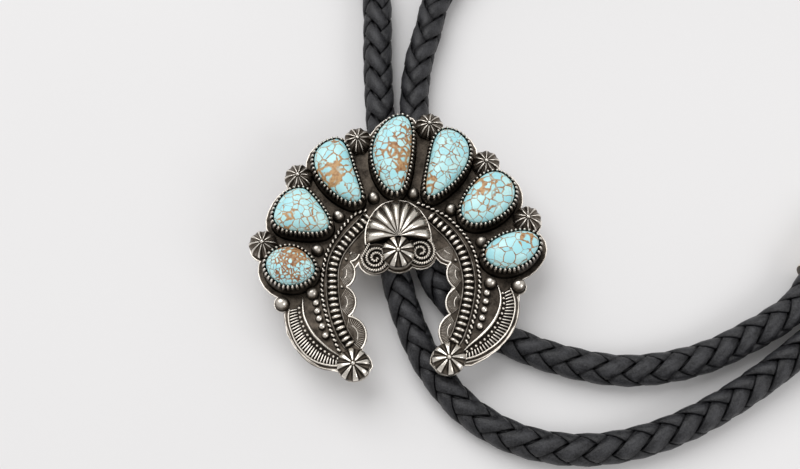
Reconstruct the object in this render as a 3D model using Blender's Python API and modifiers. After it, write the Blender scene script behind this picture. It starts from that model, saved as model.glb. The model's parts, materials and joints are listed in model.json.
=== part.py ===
"""Bolo tie lying on a surface: a horseshoe-shaped silver slide set with seven turquoise cabochons,
carried on a braided leather cord with plain silver tips.

Run with: blender --background --python part.py

Metres, +Z up. X runs across the slide and Y up it, towards the neck. The origin is on the flat
underside of the clip, on the slide's middle line. Flat places on the slide are shares of its half
width, and each kind of ornament has sizes of its own.
"""

import math

import bmesh
import bpy
from mathutils import Matrix, Vector

# Overall sizes and clearances
NAJA_WIDTH = 0.072
REACH = NAJA_WIDTH / 2
GAP = 0.0003
SINK = 0.0002
LEDGE = 0.0003
FLAT_ANGLE = 0.001
SHARP_ANGLE = math.radians(35)
LINE_PARTS = 16

# Cord, clip and tips
CORD_DIAMETER = 0.008
CORD_SIDES_RESOLUTION = 3
CLIP_LENGTH = 0.022
CLIP_WALL = 0.001
CLIP_EDGE = 0.0004
CLIP_X = 0.00275
LANE_GAP = 0.0009
TIP_DIAMETER = 0.0094
TIP_LENGTH = 0.022
TIP_NOSE = 0.0025
TIP_COLLAR = 0.0004
TIP_SIDES = 24
TIP_SHOULDER = 0.8
TIP_COLUMNS = ("reach", "along")

# Heights, from the surface up
HELD = CLIP_WALL + GAP + CORD_DIAMETER / 2
LOW = CORD_DIAMETER / 2
PLATE_BOTTOM = HELD + CORD_DIAMETER / 2 + GAP
PLATE_THICKNESS = 0.001
SHEET_STEP = 0.004
PLATE_TOP = PLATE_BOTTOM + PLATE_THICKNESS
LANE = (CORD_DIAMETER + LANE_GAP) / 2
LEFT_LANE = CLIP_X - LANE
RIGHT_LANE = CLIP_X + LANE

# Stones and their bezels
STONE_LENGTH = 0.0202
STONE_WIDTH = 0.0118
STONE_GIRDLE = 0.0044
STONE_DOME = 0.0026
STONE_POINTS = 24
STONE_DOME_RINGS = (0.93, 0.78, 0.52, 0.22)
STONE_DOME_POWER = 2.4
STONE_BOW_MIDDLE = 0.4
BEZEL_HEIGHT = 0.005
BEZEL_WALL = 0.0007
BEZEL_FLARE = 0.0006
SEAT = 0.0002
PAD_MARGIN = 0.0016

# Buttons, shell and spirals
SMALL_BUTTON_RADIUS = 0.0034
SMALL_BUTTON_HEIGHT = 0.0032
SMALL_BUTTON_FLUTES = 10
LARGE_BUTTON_RADIUS = 0.0041
LARGE_BUTTON_HEIGHT = 0.0036
LARGE_BUTTON_FLUTES = 8
SHELL_HALF_WIDTH = 0.0083
SHELL_HEIGHT = 0.0102
SHELL_RISE = 0.0040
SHELL_FLUTES = 9
SHELL_RIM = 0.0005
SPIRAL_RADIUS = 0.0036
SPIRAL_EYE = 0.00055
SPIRAL_WIRE = 0.0009
SPIRAL_TURNS = 2.25
SPIRAL_STEPS = 10
SPIRAL_LIFT = 1.15
ROUND_SIDES = 20
SMALL_ROUND_SIDES = 12

# Wires, balls, borders and leaves
RIBBED_WIDTH = 0.0028
RIBBED_HEIGHT = 0.0019
RIBS = 22
ROPE_WIDTH = 0.0015
BALL_RADIUS = 0.00145
OUTER_BALL_RADIUS = 0.0017
BEAD_RADIUS = 0.0007
BEADS_A_SIDE = 5
BALL_SIDES = 10
BALL_LIFT = 0.8
OUTER_BALL_LIFT = 0.7
BEAD_LIFT = 0.6
RIB_DEPTH = 0.25
SCALLOP_RADIUS = 0.0037
SCALLOP_RIM = 0.0005
SCALLOP_HEIGHT = 0.0006
SCALLOP_SIDES = 14
RIDGE_WIDTH = 0.0011
RIDGE_HEIGHT = 0.0011
RIM_WIDTH = 0.0008
RIM_HEIGHT = 0.0008
BAR_BAND_WIDTH = 0.0020
BAR_HEIGHT = 0.0004

# Rings of a fluted button and of the shell, from the edge in: shares of the radius and of the
# height, and how far every other flute is hollowed there
FLUTE_COLUMNS = ("reach", "rise", "hollow")
BUTTON_RINGS = [dict(zip(FLUTE_COLUMNS, row)) for row in (
    (1.00, 0.00, 0.00),
    (0.84, 0.66, 0.14),
    (0.22, 1.00, 0.00),
)]
SHELL_LIP = 0.34
SHELL_INNER = 1 - SHELL_RIM / SHELL_HEIGHT
SHELL_RINGS = [dict(zip(FLUTE_COLUMNS, row)) for row in (
    (1.00, 0.00, 0.00),
    (1.00, SHELL_LIP, 0.00),
    (SHELL_INNER, SHELL_LIP, 0.00),
    (SHELL_INNER - 0.03, 0.30, 0.10),
    (0.66, 0.80, 0.10),
    (0.25, 1.00, 0.04),
)]
SHELL_SPREAD = 1.06
SHELL_START = -0.03
SHELL_HOLLOW_DROP = 1.6
SHELL_HOLLOW_DRAW = 0.2

# Section of a half-round band: shares of its width and of its height
BAND_COLUMNS = ("across", "rise")
BAND_SECTION = [dict(zip(BAND_COLUMNS, row)) for row in (
    (0.50, 0.00),
    (0.40, 0.65),
    (0.00, 1.00),
    (-0.40, 0.65),
    (-0.50, 0.00),
)]

# Rings of a scallop, from the bottom up: radius and height over the plate
SCALLOP_COLUMNS = ("radius", "height")
SCALLOP_RINGS = [dict(zip(SCALLOP_COLUMNS, row)) for row in (
    (SCALLOP_RADIUS, -PLATE_THICKNESS),
    (SCALLOP_RADIUS, SCALLOP_HEIGHT),
    (SCALLOP_RADIUS - SCALLOP_RIM, SCALLOP_HEIGHT),
    (SCALLOP_RADIUS - 1.6 * SCALLOP_RIM, SCALLOP_HEIGHT / 3),
)]

# One row a stone: its middle and sizes as shares, its long axis turned from +X, the taper of its
# left and right flank towards the outer end, how square its corners are and how far it is bowed
STONE_COLUMNS = ("name", "x", "y", "turn", "length", "width", "left", "right", "square", "bow")
STONE_ROWS = (
    ("stone_low_left", -0.742, -0.357, 164, 0.585, 0.80, 0.06, 0.10, 1.85, 0.00),
    ("stone_left", -0.663, 0.040, 81, 0.545, 1.00, -0.24, -0.70, 2.50, 0.00),
    ("stone_upper_left", -0.384, 0.298, 112, 0.860, 0.70, 0.38, 0.33, 2.45, -0.36),
    ("stone_top", 0.002, 0.419, 81, 1.000, 0.80, 0.14, 0.03, 1.95, -0.36),
    ("stone_upper_right", 0.342, 0.319, 69, 0.900, 0.73, 0.26, 0.50, 2.20, 0.35),
    ("stone_right", 0.616, 0.043, 41, 0.747, 0.85, 0.20, 0.13, 2.20, 0.09),
    ("stone_low_right", 0.754, -0.328, 15.5, 0.673, 0.71, 0.02, -0.09, 2.00, 0.12),
)
STONES = [dict(zip(STONE_COLUMNS, row)) for row in STONE_ROWS]

# Places of the round ornaments, as shares of the slide's half width
SMALL_BUTTONS = (
    (-0.925, -0.175), (-0.667, 0.300), (-0.244, 0.565), (0.264, 0.640), (0.636, 0.330), (0.886, -0.105),
)
LARGE_BUTTONS = ((-0.010, -0.290), (-0.350, -1.045), (0.272, -1.045))
SHELL_FOOT = (-0.006, -0.178)
SPIRALS = ((-0.183, -0.306), (0.139, -0.286))
BALLS = (
    (-0.161, 0.139), (0.117, 0.150), (-0.408, 0.019), (0.369, 0.019),
    (-0.564, -0.219), (0.561, -0.228), (-0.617, -0.528), (0.586, -0.522),
)
OUTER_BALLS = ((-0.817, -0.578), (0.786, -0.558))
LEFT_SCALLOPS = ((-0.375, -0.275), (-0.430, -0.415), (-0.425, -0.610), (-0.360, -0.815))
RIGHT_SCALLOPS = ((0.335, -0.275), (0.405, -0.425), (0.400, -0.615), (0.335, -0.815))

# Lines of the wires and leaves, as shares of the slide's half width, from the shell down
LEFT_RIBBED = (
    (-0.270, -0.055), (-0.370, -0.165), (-0.440, -0.280), (-0.470, -0.440), (-0.465, -0.610),
    (-0.430, -0.770), (-0.375, -0.880),
)
RIGHT_RIBBED = (
    (0.262, -0.075), (0.360, -0.180), (0.425, -0.295), (0.455, -0.455), (0.440, -0.625),
    (0.390, -0.790), (0.332, -0.900),
)
LEFT_ROPE = (
    (-0.345, -0.010), (-0.433, -0.115), (-0.505, -0.265), (-0.545, -0.430), (-0.540, -0.610),
    (-0.495, -0.790), (-0.445, -0.905),
)
RIGHT_ROPE = (
    (0.310, -0.030), (0.420, -0.140), (0.500, -0.270), (0.530, -0.430), (0.515, -0.610),
    (0.470, -0.780), (0.400, -0.940),
)
LEFT_BEADS = (
    (-0.588, -0.588), (-0.578, -0.660), (-0.563, -0.735), (-0.528, -0.812),
)
RIGHT_BEADS = (
    (0.560, -0.590), (0.548, -0.665), (0.525, -0.740), (0.495, -0.820),
)
LEFT_RIDGE = (
    (-0.672, -0.540), (-0.675, -0.636), (-0.658, -0.766), (-0.600, -0.848), (-0.530, -0.906),
    (-0.450, -0.960),
)
RIGHT_RIDGE = (
    (0.640, -0.535), (0.648, -0.620), (0.632, -0.711), (0.585, -0.795), (0.515, -0.880),
    (0.400, -0.950),
)
LEFT_BAND = (
    (-0.722, -0.610), (-0.715, -0.735), (-0.670, -0.845), (-0.590, -0.925), (-0.500, -0.990),
    (-0.440, -1.012),
)
RIGHT_BAND = (
    (0.693, -0.570), (0.697, -0.665), (0.665, -0.780), (0.600, -0.875), (0.515, -0.955),
    (0.415, -1.005),
)
LEFT_RIM = (
    (-0.775, -0.640), (-0.768, -0.755), (-0.718, -0.870), (-0.635, -0.962), (-0.535, -1.025),
    (-0.455, -1.046),
)
RIGHT_RIM = (
    (0.742, -0.585), (0.746, -0.660), (0.722, -0.765), (0.668, -0.862), (0.580, -0.950),
    (0.425, -1.030),
)

# Outlines of the back plate's sheets, as shares of the slide's half width, anticlockwise
CROWN = (
    (0.00, -0.34), (0.17, -0.32), (0.45, -0.30), (0.70, -0.34), (0.78, -0.10), (0.60, 0.25),
    (0.30, 0.50), (0.00, 0.58), (-0.28, 0.48), (-0.58, 0.22), (-0.80, -0.12), (-0.74, -0.38),
    (-0.45, -0.30), (-0.19, -0.34),
)
LEFT_LEG = (
    (-0.62, -0.20), (-0.80, -0.40), (-0.80, -0.58), (-0.80, -0.74), (-0.76, -0.86), (-0.66, -0.97),
    (-0.55, -1.045), (-0.40, -1.07), (-0.28, -1.00), (-0.33, -0.75), (-0.38, -0.50), (-0.36, -0.18),
)
RIGHT_LEG = (
    (0.33, -0.18), (0.36, -0.40), (0.35, -0.60), (0.27, -0.80), (0.22, -1.00), (0.34, -1.09), (0.48, -1.055),
    (0.61, -0.98), (0.70, -0.88), (0.76, -0.78), (0.785, -0.62), (0.80, -0.40), (0.62, -0.20),
)

# The cord's route, in metres, from points chosen along it
NECK_LOOP = (
    (LEFT_LANE, 0.0, HELD), (LEFT_LANE, CLIP_LENGTH / 4, HELD), (LEFT_LANE, CLIP_LENGTH / 2, HELD),
    (-0.0025, 0.0200, LOW + 0.0004), (-0.0028, 0.0317, LOW), (-0.0026, 0.0469, LOW), (-0.0019, 0.0652, LOW),
    (-0.0045, 0.0800, LOW), (-0.0130, 0.0950, LOW), (-0.0240, 0.1080, LOW), (-0.0310, 0.1240, LOW),
    (-0.0290, 0.1420, LOW), (-0.0160, 0.1560, LOW), (0.0080, 0.1650, LOW), (0.0380, 0.1680, LOW),
    (0.0700, 0.1670, LOW), (0.0980, 0.1590, LOW), (0.1150, 0.1440, LOW), (0.1180, 0.1240, LOW),
    (0.1080, 0.1070, LOW), (0.0880, 0.0950, LOW), (0.0620, 0.0885, LOW), (0.0400, 0.0850, LOW),
    (0.0240, 0.0775, LOW), (0.0148, 0.0645, LOW), (0.0116, 0.0551, LOW), (0.0084, 0.0457, LOW),
    (0.0064, 0.0340, LOW), (0.0064, 0.0215, LOW + 0.0004), (RIGHT_LANE, CLIP_LENGTH / 2, HELD),
    (RIGHT_LANE, CLIP_LENGTH / 4, HELD), (RIGHT_LANE, 0.0, HELD),
)
TIP_LIE = TIP_DIAMETER / 2 + TIP_COLLAR
LONG_END = (
    (LEFT_LANE, -GAP, HELD), (LEFT_LANE, -CLIP_LENGTH / 4, HELD), (LEFT_LANE, -CLIP_LENGTH / 2, HELD),
    (-0.0011, -0.0150, HELD - 0.0006), (-0.0002, -0.0197, LOW + 0.0002),
    (0.0013, -0.0254, LOW), (0.0033, -0.0315, LOW), (0.0057, -0.0370, LOW), (0.0087, -0.0419, LOW),
    (0.0123, -0.0467, LOW), (0.0169, -0.0509, LOW), (0.0230, -0.0548, LOW), (0.0300, -0.0576, LOW),
    (0.0380, -0.0592, LOW), (0.0466, -0.0594, LOW), (0.0562, -0.0580, LOW), (0.0660, -0.0551, LOW),
    (0.0761, -0.0507, LOW), (0.0861, -0.0452, LOW + 0.0003), (0.0950, -0.0395, TIP_LIE),
    (0.1045, -0.0330, TIP_LIE),
)
SHORT_END = (
    (RIGHT_LANE, -GAP, HELD), (RIGHT_LANE, -CLIP_LENGTH / 4, HELD), (RIGHT_LANE, -CLIP_LENGTH / 2, HELD),
    (0.0085, -0.0155, HELD - 0.0006), (0.0120, -0.0210, LOW + 0.0002),
    (0.0175, -0.0270, LOW), (0.0254, -0.0318, LOW), (0.0335, -0.0358, LOW), (0.0432, -0.0391, LOW),
    (0.0520, -0.0409, LOW), (0.0605, -0.0410, LOW), (0.0689, -0.0399, LOW), (0.0766, -0.0378, LOW),
    (0.0840, -0.0347, LOW + 0.0003), (0.0900, -0.0320, TIP_LIE), (0.0970, -0.0277, TIP_LIE),
    (0.1028, -0.0212, TIP_LIE),
)
CORD_STEP = 0.011

# Looks
SILVER = ("silver", (0.42, 0.39, 0.35), 0.38, 1.0)
CLIP_SILVER = ("clip_silver", (0.50, 0.49, 0.47), 0.35, 1.0)
TURQUOISE = ("turquoise", (0.30, 0.72, 0.80), 0.25, 0.0)
LEATHER = ("black_leather", (0.02, 0.02, 0.022), 0.55, 0.0)


def place(share):
    """A flat place on the slide from its shares of the half width."""
    return Vector((share[0] * REACH, share[1] * REACH))


def smooth_line(points, step):
    """Points about one step apart along a smooth curve through the given ones."""
    ends = [points[0], *points, points[-1]]
    fine = []
    for a, b, c, d in zip(ends, ends[1:], ends[2:], ends[3:]):
        for k in range(LINE_PARTS):
            t = k / LINE_PARTS
            bend = 2 * a - 5 * b + 4 * c - d
            twist = 3 * b - a - 3 * c + d
            fine.append((2 * b + (c - a) * t + bend * t**2 + twist * t**3) / 2)
    fine.append(points[-1])
    along = [0.0]
    for a, b in zip(fine, fine[1:]):
        along.append(along[-1] + (b - a).length)
    count = max(2, round(along[-1] / step))
    spaced, k = [], 0
    for n in range(count + 1):
        goal = along[-1] * n / count
        while k < len(along) - 2 and along[k + 1] < goal:
            k += 1
        share = (goal - along[k]) / (along[k + 1] - along[k])
        spaced.append(fine[k].lerp(fine[k + 1], share))
    return spaced


def material(look):
    """The named finish, made once."""
    name, colour, roughness, metallic = look
    made = bpy.data.materials.get(name) or bpy.data.materials.new(name)
    made.use_nodes = True
    shader = made.node_tree.nodes["Principled BSDF"]
    shader.inputs["Base Color"].default_value = (*colour, 1)
    shader.inputs["Roughness"].default_value = roughness
    shader.inputs["Metallic"].default_value = metallic
    return made


def new_object(name, data, look, collection):
    """A new object in the collection, in its finish."""
    made = bpy.data.objects.new(name, data)
    made.data.materials.append(material(look))
    collection.objects.link(made)
    return made


def shade(mesh):
    """Smooth shading, with the corners kept sharp."""
    mesh.shade_smooth()
    mesh.set_sharp_from_angle(angle=SHARP_ANGLE)


def loft(bm, rings):
    """One closed body through rings of equally many points, listed from the bottom up, anticlockwise."""
    rows = [[bm.verts.new(point) for point in ring] for ring in rings]
    count = len(rows[0])
    for low, high in zip(rows, rows[1:]):
        for k in range(count):
            n = (k + 1) % count
            bm.faces.new((low[k], low[n], high[n], high[k]))
    bm.faces.new(reversed(rows[0]))
    bm.faces.new(rows[-1])


def mesh_from(name, build, *sizes):
    """A mesh of what the given function makes with its sizes."""
    bm = bmesh.new()
    build(bm, *sizes)
    mesh = bpy.data.meshes.new(name)
    bm.to_mesh(mesh)
    bm.free()
    shade(mesh)
    return mesh


def grown(outline, margin):
    """A closed anticlockwise outline moved outwards by the margin."""
    moved = []
    for k, point in enumerate(outline):
        along = outline[(k + 1) % len(outline)] - outline[k - 1]
        moved.append(point + Vector((along.y, -along.x)).normalized() * margin)
    return moved


def raised(outline, height):
    """The outline as a ring at one height."""
    return [Vector((point.x, point.y, height)) for point in outline]


def stone_outline(row):
    """The stone's girdle: an egg with a taper of its own on each flank, bowed along its length."""
    middle = place((row["x"], row["y"]))
    turn = Matrix.Rotation(math.radians(row["turn"]), 2)
    half_length = STONE_LENGTH * row["length"] / 2
    half_width = STONE_WIDTH * row["width"] / 2
    power = 2 / row["square"]
    points = []
    for k in range(STONE_POINTS):
        angle = 2 * math.pi * k / STONE_POINTS
        along = math.copysign(abs(math.cos(angle)) ** power, math.cos(angle))
        across = math.copysign(abs(math.sin(angle)) ** power, math.sin(angle))
        taper = row["left"] if across > 0 else row["right"]
        bowed = across * (1 + taper * along) + row["bow"] * (along**2 - STONE_BOW_MIDDLE)
        points.append(middle + turn @ Vector((half_length * along, half_width * bowed)))
    return points


def stone_body(bm, row):
    """A cabochon: straight sides inside the bezel and a low dome over it."""
    girdle = stone_outline(row)
    base = PLATE_TOP + SEAT + GAP
    middle = sum(girdle, Vector((0, 0))) / len(girdle)
    rings = [raised(girdle, base), raised(girdle, base + STONE_GIRDLE)]
    for share in STONE_DOME_RINGS:
        height = base + STONE_GIRDLE + STONE_DOME * math.sqrt(1 - share**STONE_DOME_POWER)
        rings.append(raised([middle.lerp(point, share) for point in girdle], height))
    loft(bm, rings)


def bezel_body(bm, row):
    """The bezel's outside: a wall round the stone, flared where it meets the plate."""
    girdle = stone_outline(row)
    wall = GAP + BEZEL_WALL
    loft(bm, [
        raised(grown(girdle, wall + BEZEL_FLARE), PLATE_TOP - SINK),
        raised(grown(girdle, wall), PLATE_TOP + BEZEL_HEIGHT),
    ])


def pocket_body(bm, row):
    """The space that the stone sits in."""
    girdle = grown(stone_outline(row), GAP)
    loft(bm, [raised(girdle, PLATE_TOP + SEAT), raised(girdle, PLATE_TOP + STONE_GIRDLE + STONE_LENGTH)])


def button_body(bm, centre, radius, height, flutes):
    """A fluted dome with a small ball in its middle."""
    middle = place(centre).to_3d()
    count = 2 * flutes
    rings = []
    for row in BUTTON_RINGS:
        ring = []
        for k in range(count):
            angle = 2 * math.pi * k / count + math.pi / count
            kept = 1 - (row["hollow"] if k % 2 else 0.0)
            reach = radius * row["reach"] * kept
            lift = height * row["rise"] * kept if row["rise"] else -SINK
            ring.append(middle + Vector((reach * math.cos(angle), reach * math.sin(angle), PLATE_TOP + lift)))
        rings.append(ring)
    loft(bm, rings)


def knob_body(bm, flat, radius, lift):
    """A ball, its middle lifted off the plate by a share of its radius."""
    bmesh.ops.create_uvsphere(
        bm, u_segments=BALL_SIDES, v_segments=BALL_SIDES // 2, radius=radius,
        matrix=Matrix.Translation((flat.x, flat.y, PLATE_TOP + radius * lift)),
    )


def disc_body(bm, flat, radius, low, high, sides):
    """A flat round pad."""
    bmesh.ops.create_cone(
        bm, cap_ends=True, segments=sides, radius1=radius, radius2=radius, depth=high - low,
        matrix=Matrix.Translation((flat.x, flat.y, (low + high) / 2)),
    )


def plate_disc(bm, spare, centre, radius, sides):
    """A round part of the back plate, a ledge wider than what stands on it, with metal to trim."""
    disc_body(bm, place(centre), radius + LEDGE, PLATE_BOTTOM - spare, PLATE_TOP + spare, sides)


def sheet_body(bm, spare, outline):
    """A sheet of the back plate with the given outline, with metal to trim."""
    loft(bm, [raised(outline, PLATE_BOTTOM - spare), raised(outline, PLATE_TOP + spare)])


def slab_body(bm):
    """The layer that the back plate is trimmed to."""
    corners = [Vector((x, y)) * 2 * REACH for x, y in ((-1, -1), (1, -1), (1, 1), (-1, 1))]
    loft(bm, [raised(corners, PLATE_BOTTOM), raised(corners, PLATE_TOP)])


def shell_body(bm):
    """A domed fan of flutes with a thin raised rim, its foot at the bottom middle."""
    foot = place(SHELL_FOOT)
    columns = 2 * SHELL_FLUTES
    rings = []
    for row in SHELL_RINGS:
        ring = []
        for k in range(columns + 1):
            angle = math.pi * (k / columns * SHELL_SPREAD + SHELL_START)
            hollow = row["hollow"] if k % 2 else 0.0
            lift = SHELL_RISE * row["rise"] * (1 - hollow * SHELL_HOLLOW_DROP) if row["rise"] else -SINK
            reach = row["reach"] * (1 - hollow * SHELL_HOLLOW_DRAW)
            ring.append(Vector((
                foot.x + SHELL_HALF_WIDTH * reach * math.cos(angle),
                foot.y + SHELL_HEIGHT * reach * math.sin(angle),
                PLATE_TOP + lift,
            )))
        rings.append(ring)
    loft(bm, rings)


def scallop_body(bm, centre):
    """A dished disc with a raised rim, for the inner border."""
    flat = place(centre)
    angles = [2 * math.pi * k / SCALLOP_SIDES for k in range(SCALLOP_SIDES)]
    rings = []
    for row in SCALLOP_RINGS:
        ring = [flat + row["radius"] * Vector((math.cos(angle), math.sin(angle))) for angle in angles]
        rings.append(raised(ring, PLATE_TOP + row["height"]))
    loft(bm, rings)


def band_body(bm, line, width, height, step, rib=0.0):
    """A half-round band along a flat line, its ribs rib deep; a step is a rib or a hollow."""
    stations = smooth_line([place(share) for share in line], step)
    rings = []
    for k, point in enumerate(stations):
        along = stations[min(k + 1, len(stations) - 1)] - stations[max(k - 1, 0)]
        side = Vector((along.y, -along.x)).normalized()
        scale = 1 - rib * (k % 2)
        ring = []
        for row in BAND_SECTION:
            flat = point + side * (row["across"] * width * scale)
            lift = height * row["rise"] * scale if row["rise"] else -SINK
            ring.append(Vector((flat.x, flat.y, PLATE_TOP + lift)))
        rings.append(ring)
    loft(bm, rings)


def line_length(line):
    """How long a flat line on the slide is."""
    stations = smooth_line([place(share) for share in line], RIBBED_WIDTH)
    return sum((b - a).length for a, b in zip(stations, stations[1:]))


def spiral_pad(bm, centre):
    """The pad under a spiral of wire."""
    disc_body(bm, place(centre), SPIRAL_RADIUS, PLATE_TOP - SINK, PLATE_TOP + SPIRAL_WIRE, ROUND_SIDES)


def spiral_wire(centre, hand):
    """The coil of wire on a spiral's pad, wound the given way, as a curve of its own."""
    middle = place(centre)
    curve = bpy.data.curves.new("spiral_wire", "CURVE")
    curve.dimensions = "3D"
    curve.bevel_depth = SPIRAL_WIRE / 2
    curve.bevel_resolution = 1
    curve.use_fill_caps = True
    count = round(SPIRAL_STEPS * SPIRAL_TURNS)
    spline = curve.splines.new("POLY")
    spline.points.add(count)
    for k in range(count + 1):
        share = k / count
        angle = hand * 2 * math.pi * SPIRAL_TURNS * share - math.pi / 2
        reach = SPIRAL_EYE + (SPIRAL_RADIUS - SPIRAL_WIRE / 2 - SPIRAL_EYE) * share
        flat = middle + reach * Vector((math.cos(angle), math.sin(angle)))
        spline.points[k].co = (flat.x, flat.y, PLATE_TOP + SPIRAL_WIRE * SPIRAL_LIFT, 1)
    return curve


def solid_from_curve(name, curve, collection, look):
    """The curve as a closed mesh object."""
    rod = new_object(name, curve, look, collection)
    evaluated = rod.evaluated_get(bpy.context.evaluated_depsgraph_get())
    mesh = bpy.data.meshes.new_from_object(evaluated)
    bm = bmesh.new()
    bm.from_mesh(mesh)
    bmesh.ops.remove_doubles(bm, verts=bm.verts, dist=GAP / 10)
    bm.to_mesh(mesh)
    bm.free()
    bpy.data.objects.remove(rod)
    return new_object(name, mesh, look, collection)


def shells(bm):
    """The separate closed surfaces of a mesh, each as a list of its faces."""
    left = set(bm.faces)
    while left:
        shell, queue = [], [left.pop()]
        while queue:
            face = queue.pop()
            shell.append(face)
            for edge in face.edges:
                for other in edge.link_faces:
                    if other in left:
                        left.remove(other)
                        queue.append(other)
        yield shell


def fill_bubbles(bm):
    """Removes the surfaces that enclose nothing but air between joined pieces."""
    for shell in list(shells(bm)):
        corner = shell[0].verts[0].co
        volume = 0.0
        for face in shell:
            volume += (face.calc_center_median() - corner).dot(face.normal) * face.calc_area()
        if volume < 0:
            bmesh.ops.delete(bm, geom=shell, context="FACES")


def clean_join(mesh):
    """Clears the cuts that a join leaves across flat faces, and the bubbles that it seals in."""
    bm = bmesh.new()
    bm.from_mesh(mesh)
    bm.normal_update()
    fill_bubbles(bm)
    bmesh.ops.dissolve_limit(bm, angle_limit=FLAT_ANGLE, verts=bm.verts, edges=bm.edges)
    bm.to_mesh(mesh)
    bm.free()
    shade(mesh)


def combine(target, others, operation):
    """Joins the other bodies to the target, or cuts them out of it, and removes them."""
    scrap = bpy.data.collections.new("scrap")
    bpy.context.scene.collection.children.link(scrap)
    for body in others:
        for home in list(body.users_collection):
            home.objects.unlink(body)
        scrap.objects.link(body)
    cut = target.modifiers.new(operation.lower(), "BOOLEAN")
    cut.operand_type = "COLLECTION"
    cut.collection = scrap
    cut.operation = operation
    cut.solver = "EXACT"
    evaluated = target.evaluated_get(bpy.context.evaluated_depsgraph_get())
    mesh = bpy.data.meshes.new_from_object(evaluated)
    clean_join(mesh)
    target.modifiers.clear()
    old, target.data = target.data, mesh
    bpy.data.meshes.remove(old)
    for body in list(scrap.objects):
        bpy.data.objects.remove(body)
    bpy.data.collections.remove(scrap)


def plate_bodies():
    """The sheets and pads that run together into the back plate, each with its own metal to trim."""
    for k, (build, *sizes) in enumerate(plate_parts()):
        yield build, SINK * (k + 1), *sizes


def plate_parts():
    """The sheets and pads of the back plate, as functions and their sizes."""
    for outline in (CROWN, LEFT_LEG, RIGHT_LEG):
        loop = [place(share) for share in outline]
        yield sheet_body, smooth_line([*loop, loop[0]], SHEET_STEP)[:-1]
    for row in STONES:
        yield sheet_body, grown(stone_outline(row), GAP + BEZEL_WALL + PAD_MARGIN)
    for centre in SMALL_BUTTONS:
        yield plate_disc, centre, SMALL_BUTTON_RADIUS, ROUND_SIDES
    for centre in LARGE_BUTTONS:
        yield plate_disc, centre, LARGE_BUTTON_RADIUS, ROUND_SIDES
    for centre in SPIRALS:
        yield plate_disc, centre, SPIRAL_RADIUS, ROUND_SIDES
    for centre in OUTER_BALLS:
        yield plate_disc, centre, OUTER_BALL_RADIUS, SMALL_ROUND_SIDES


def ornament_bodies():
    """Everything soldered on the plate's front, as functions and their sizes."""
    for row in STONES:
        yield bezel_body, row
    for centre in SMALL_BUTTONS:
        yield button_body, centre, SMALL_BUTTON_RADIUS, SMALL_BUTTON_HEIGHT, SMALL_BUTTON_FLUTES
    for centre in LARGE_BUTTONS:
        yield button_body, centre, LARGE_BUTTON_RADIUS, LARGE_BUTTON_HEIGHT, LARGE_BUTTON_FLUTES
    yield (shell_body,)
    for centre in BALLS:
        yield knob_body, place(centre), BALL_RADIUS, BALL_LIFT
    for centre in OUTER_BALLS:
        yield knob_body, place(centre), OUTER_BALL_RADIUS, OUTER_BALL_LIFT
    for line in (LEFT_BEADS, RIGHT_BEADS):
        for flat in bead_places(line):
            yield knob_body, flat, BEAD_RADIUS, BEAD_LIFT
    for centre in (*LEFT_SCALLOPS, *RIGHT_SCALLOPS):
        yield scallop_body, centre
    for centre in SPIRALS:
        yield spiral_pad, centre
    for line in (LEFT_RIBBED, RIGHT_RIBBED):
        yield band_body, line, RIBBED_WIDTH, RIBBED_HEIGHT, line_length(line) / (2 * RIBS), RIB_DEPTH
    for line in (LEFT_ROPE, RIGHT_ROPE):
        yield band_body, line, ROPE_WIDTH, ROPE_WIDTH, 2 * ROPE_WIDTH
    for line in (LEFT_RIDGE, RIGHT_RIDGE):
        yield band_body, line, RIDGE_WIDTH, RIDGE_HEIGHT, 2 * RIDGE_WIDTH
    for line in (LEFT_RIM, RIGHT_RIM):
        yield band_body, line, RIM_WIDTH, RIM_HEIGHT, 2 * RIDGE_WIDTH
    for line in (LEFT_BAND, RIGHT_BAND):
        yield band_body, line, BAR_BAND_WIDTH, BAR_HEIGHT, 2 * RIDGE_WIDTH


def bead_places(line):
    """Evenly spaced places along a row of beads."""
    length = line_length(line)
    return smooth_line([place(share) for share in line], length / (BEADS_A_SIDE - 1))


def make_bodies(name, recipes, collection):
    """One silver body for each function and its sizes."""
    return [new_object(name, mesh_from(name, *recipe), SILVER, collection) for recipe in recipes]


def make_naja(collection):
    """The soldered silver front, with a pocket for each stone."""
    naja, *sheets = make_bodies("sheet", plate_bodies(), collection)
    naja.name = "naja"
    combine(naja, sheets, "UNION")
    combine(naja, make_bodies("slab", [(slab_body,)], collection), "INTERSECT")
    bodies = make_bodies("ornament", ornament_bodies(), collection)
    for hand, centre in zip((1, -1), SPIRALS):
        bodies.append(solid_from_curve("coil", spiral_wire(centre, hand), collection, SILVER))
    combine(naja, bodies, "UNION")
    combine(naja, make_bodies("pocket", [(pocket_body, row) for row in STONES], collection), "DIFFERENCE")


def make_stones(collection):
    """The seven cabochons."""
    for row in STONES:
        new_object(row["name"], mesh_from(row["name"], stone_body, row), TURQUOISE, collection)


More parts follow.
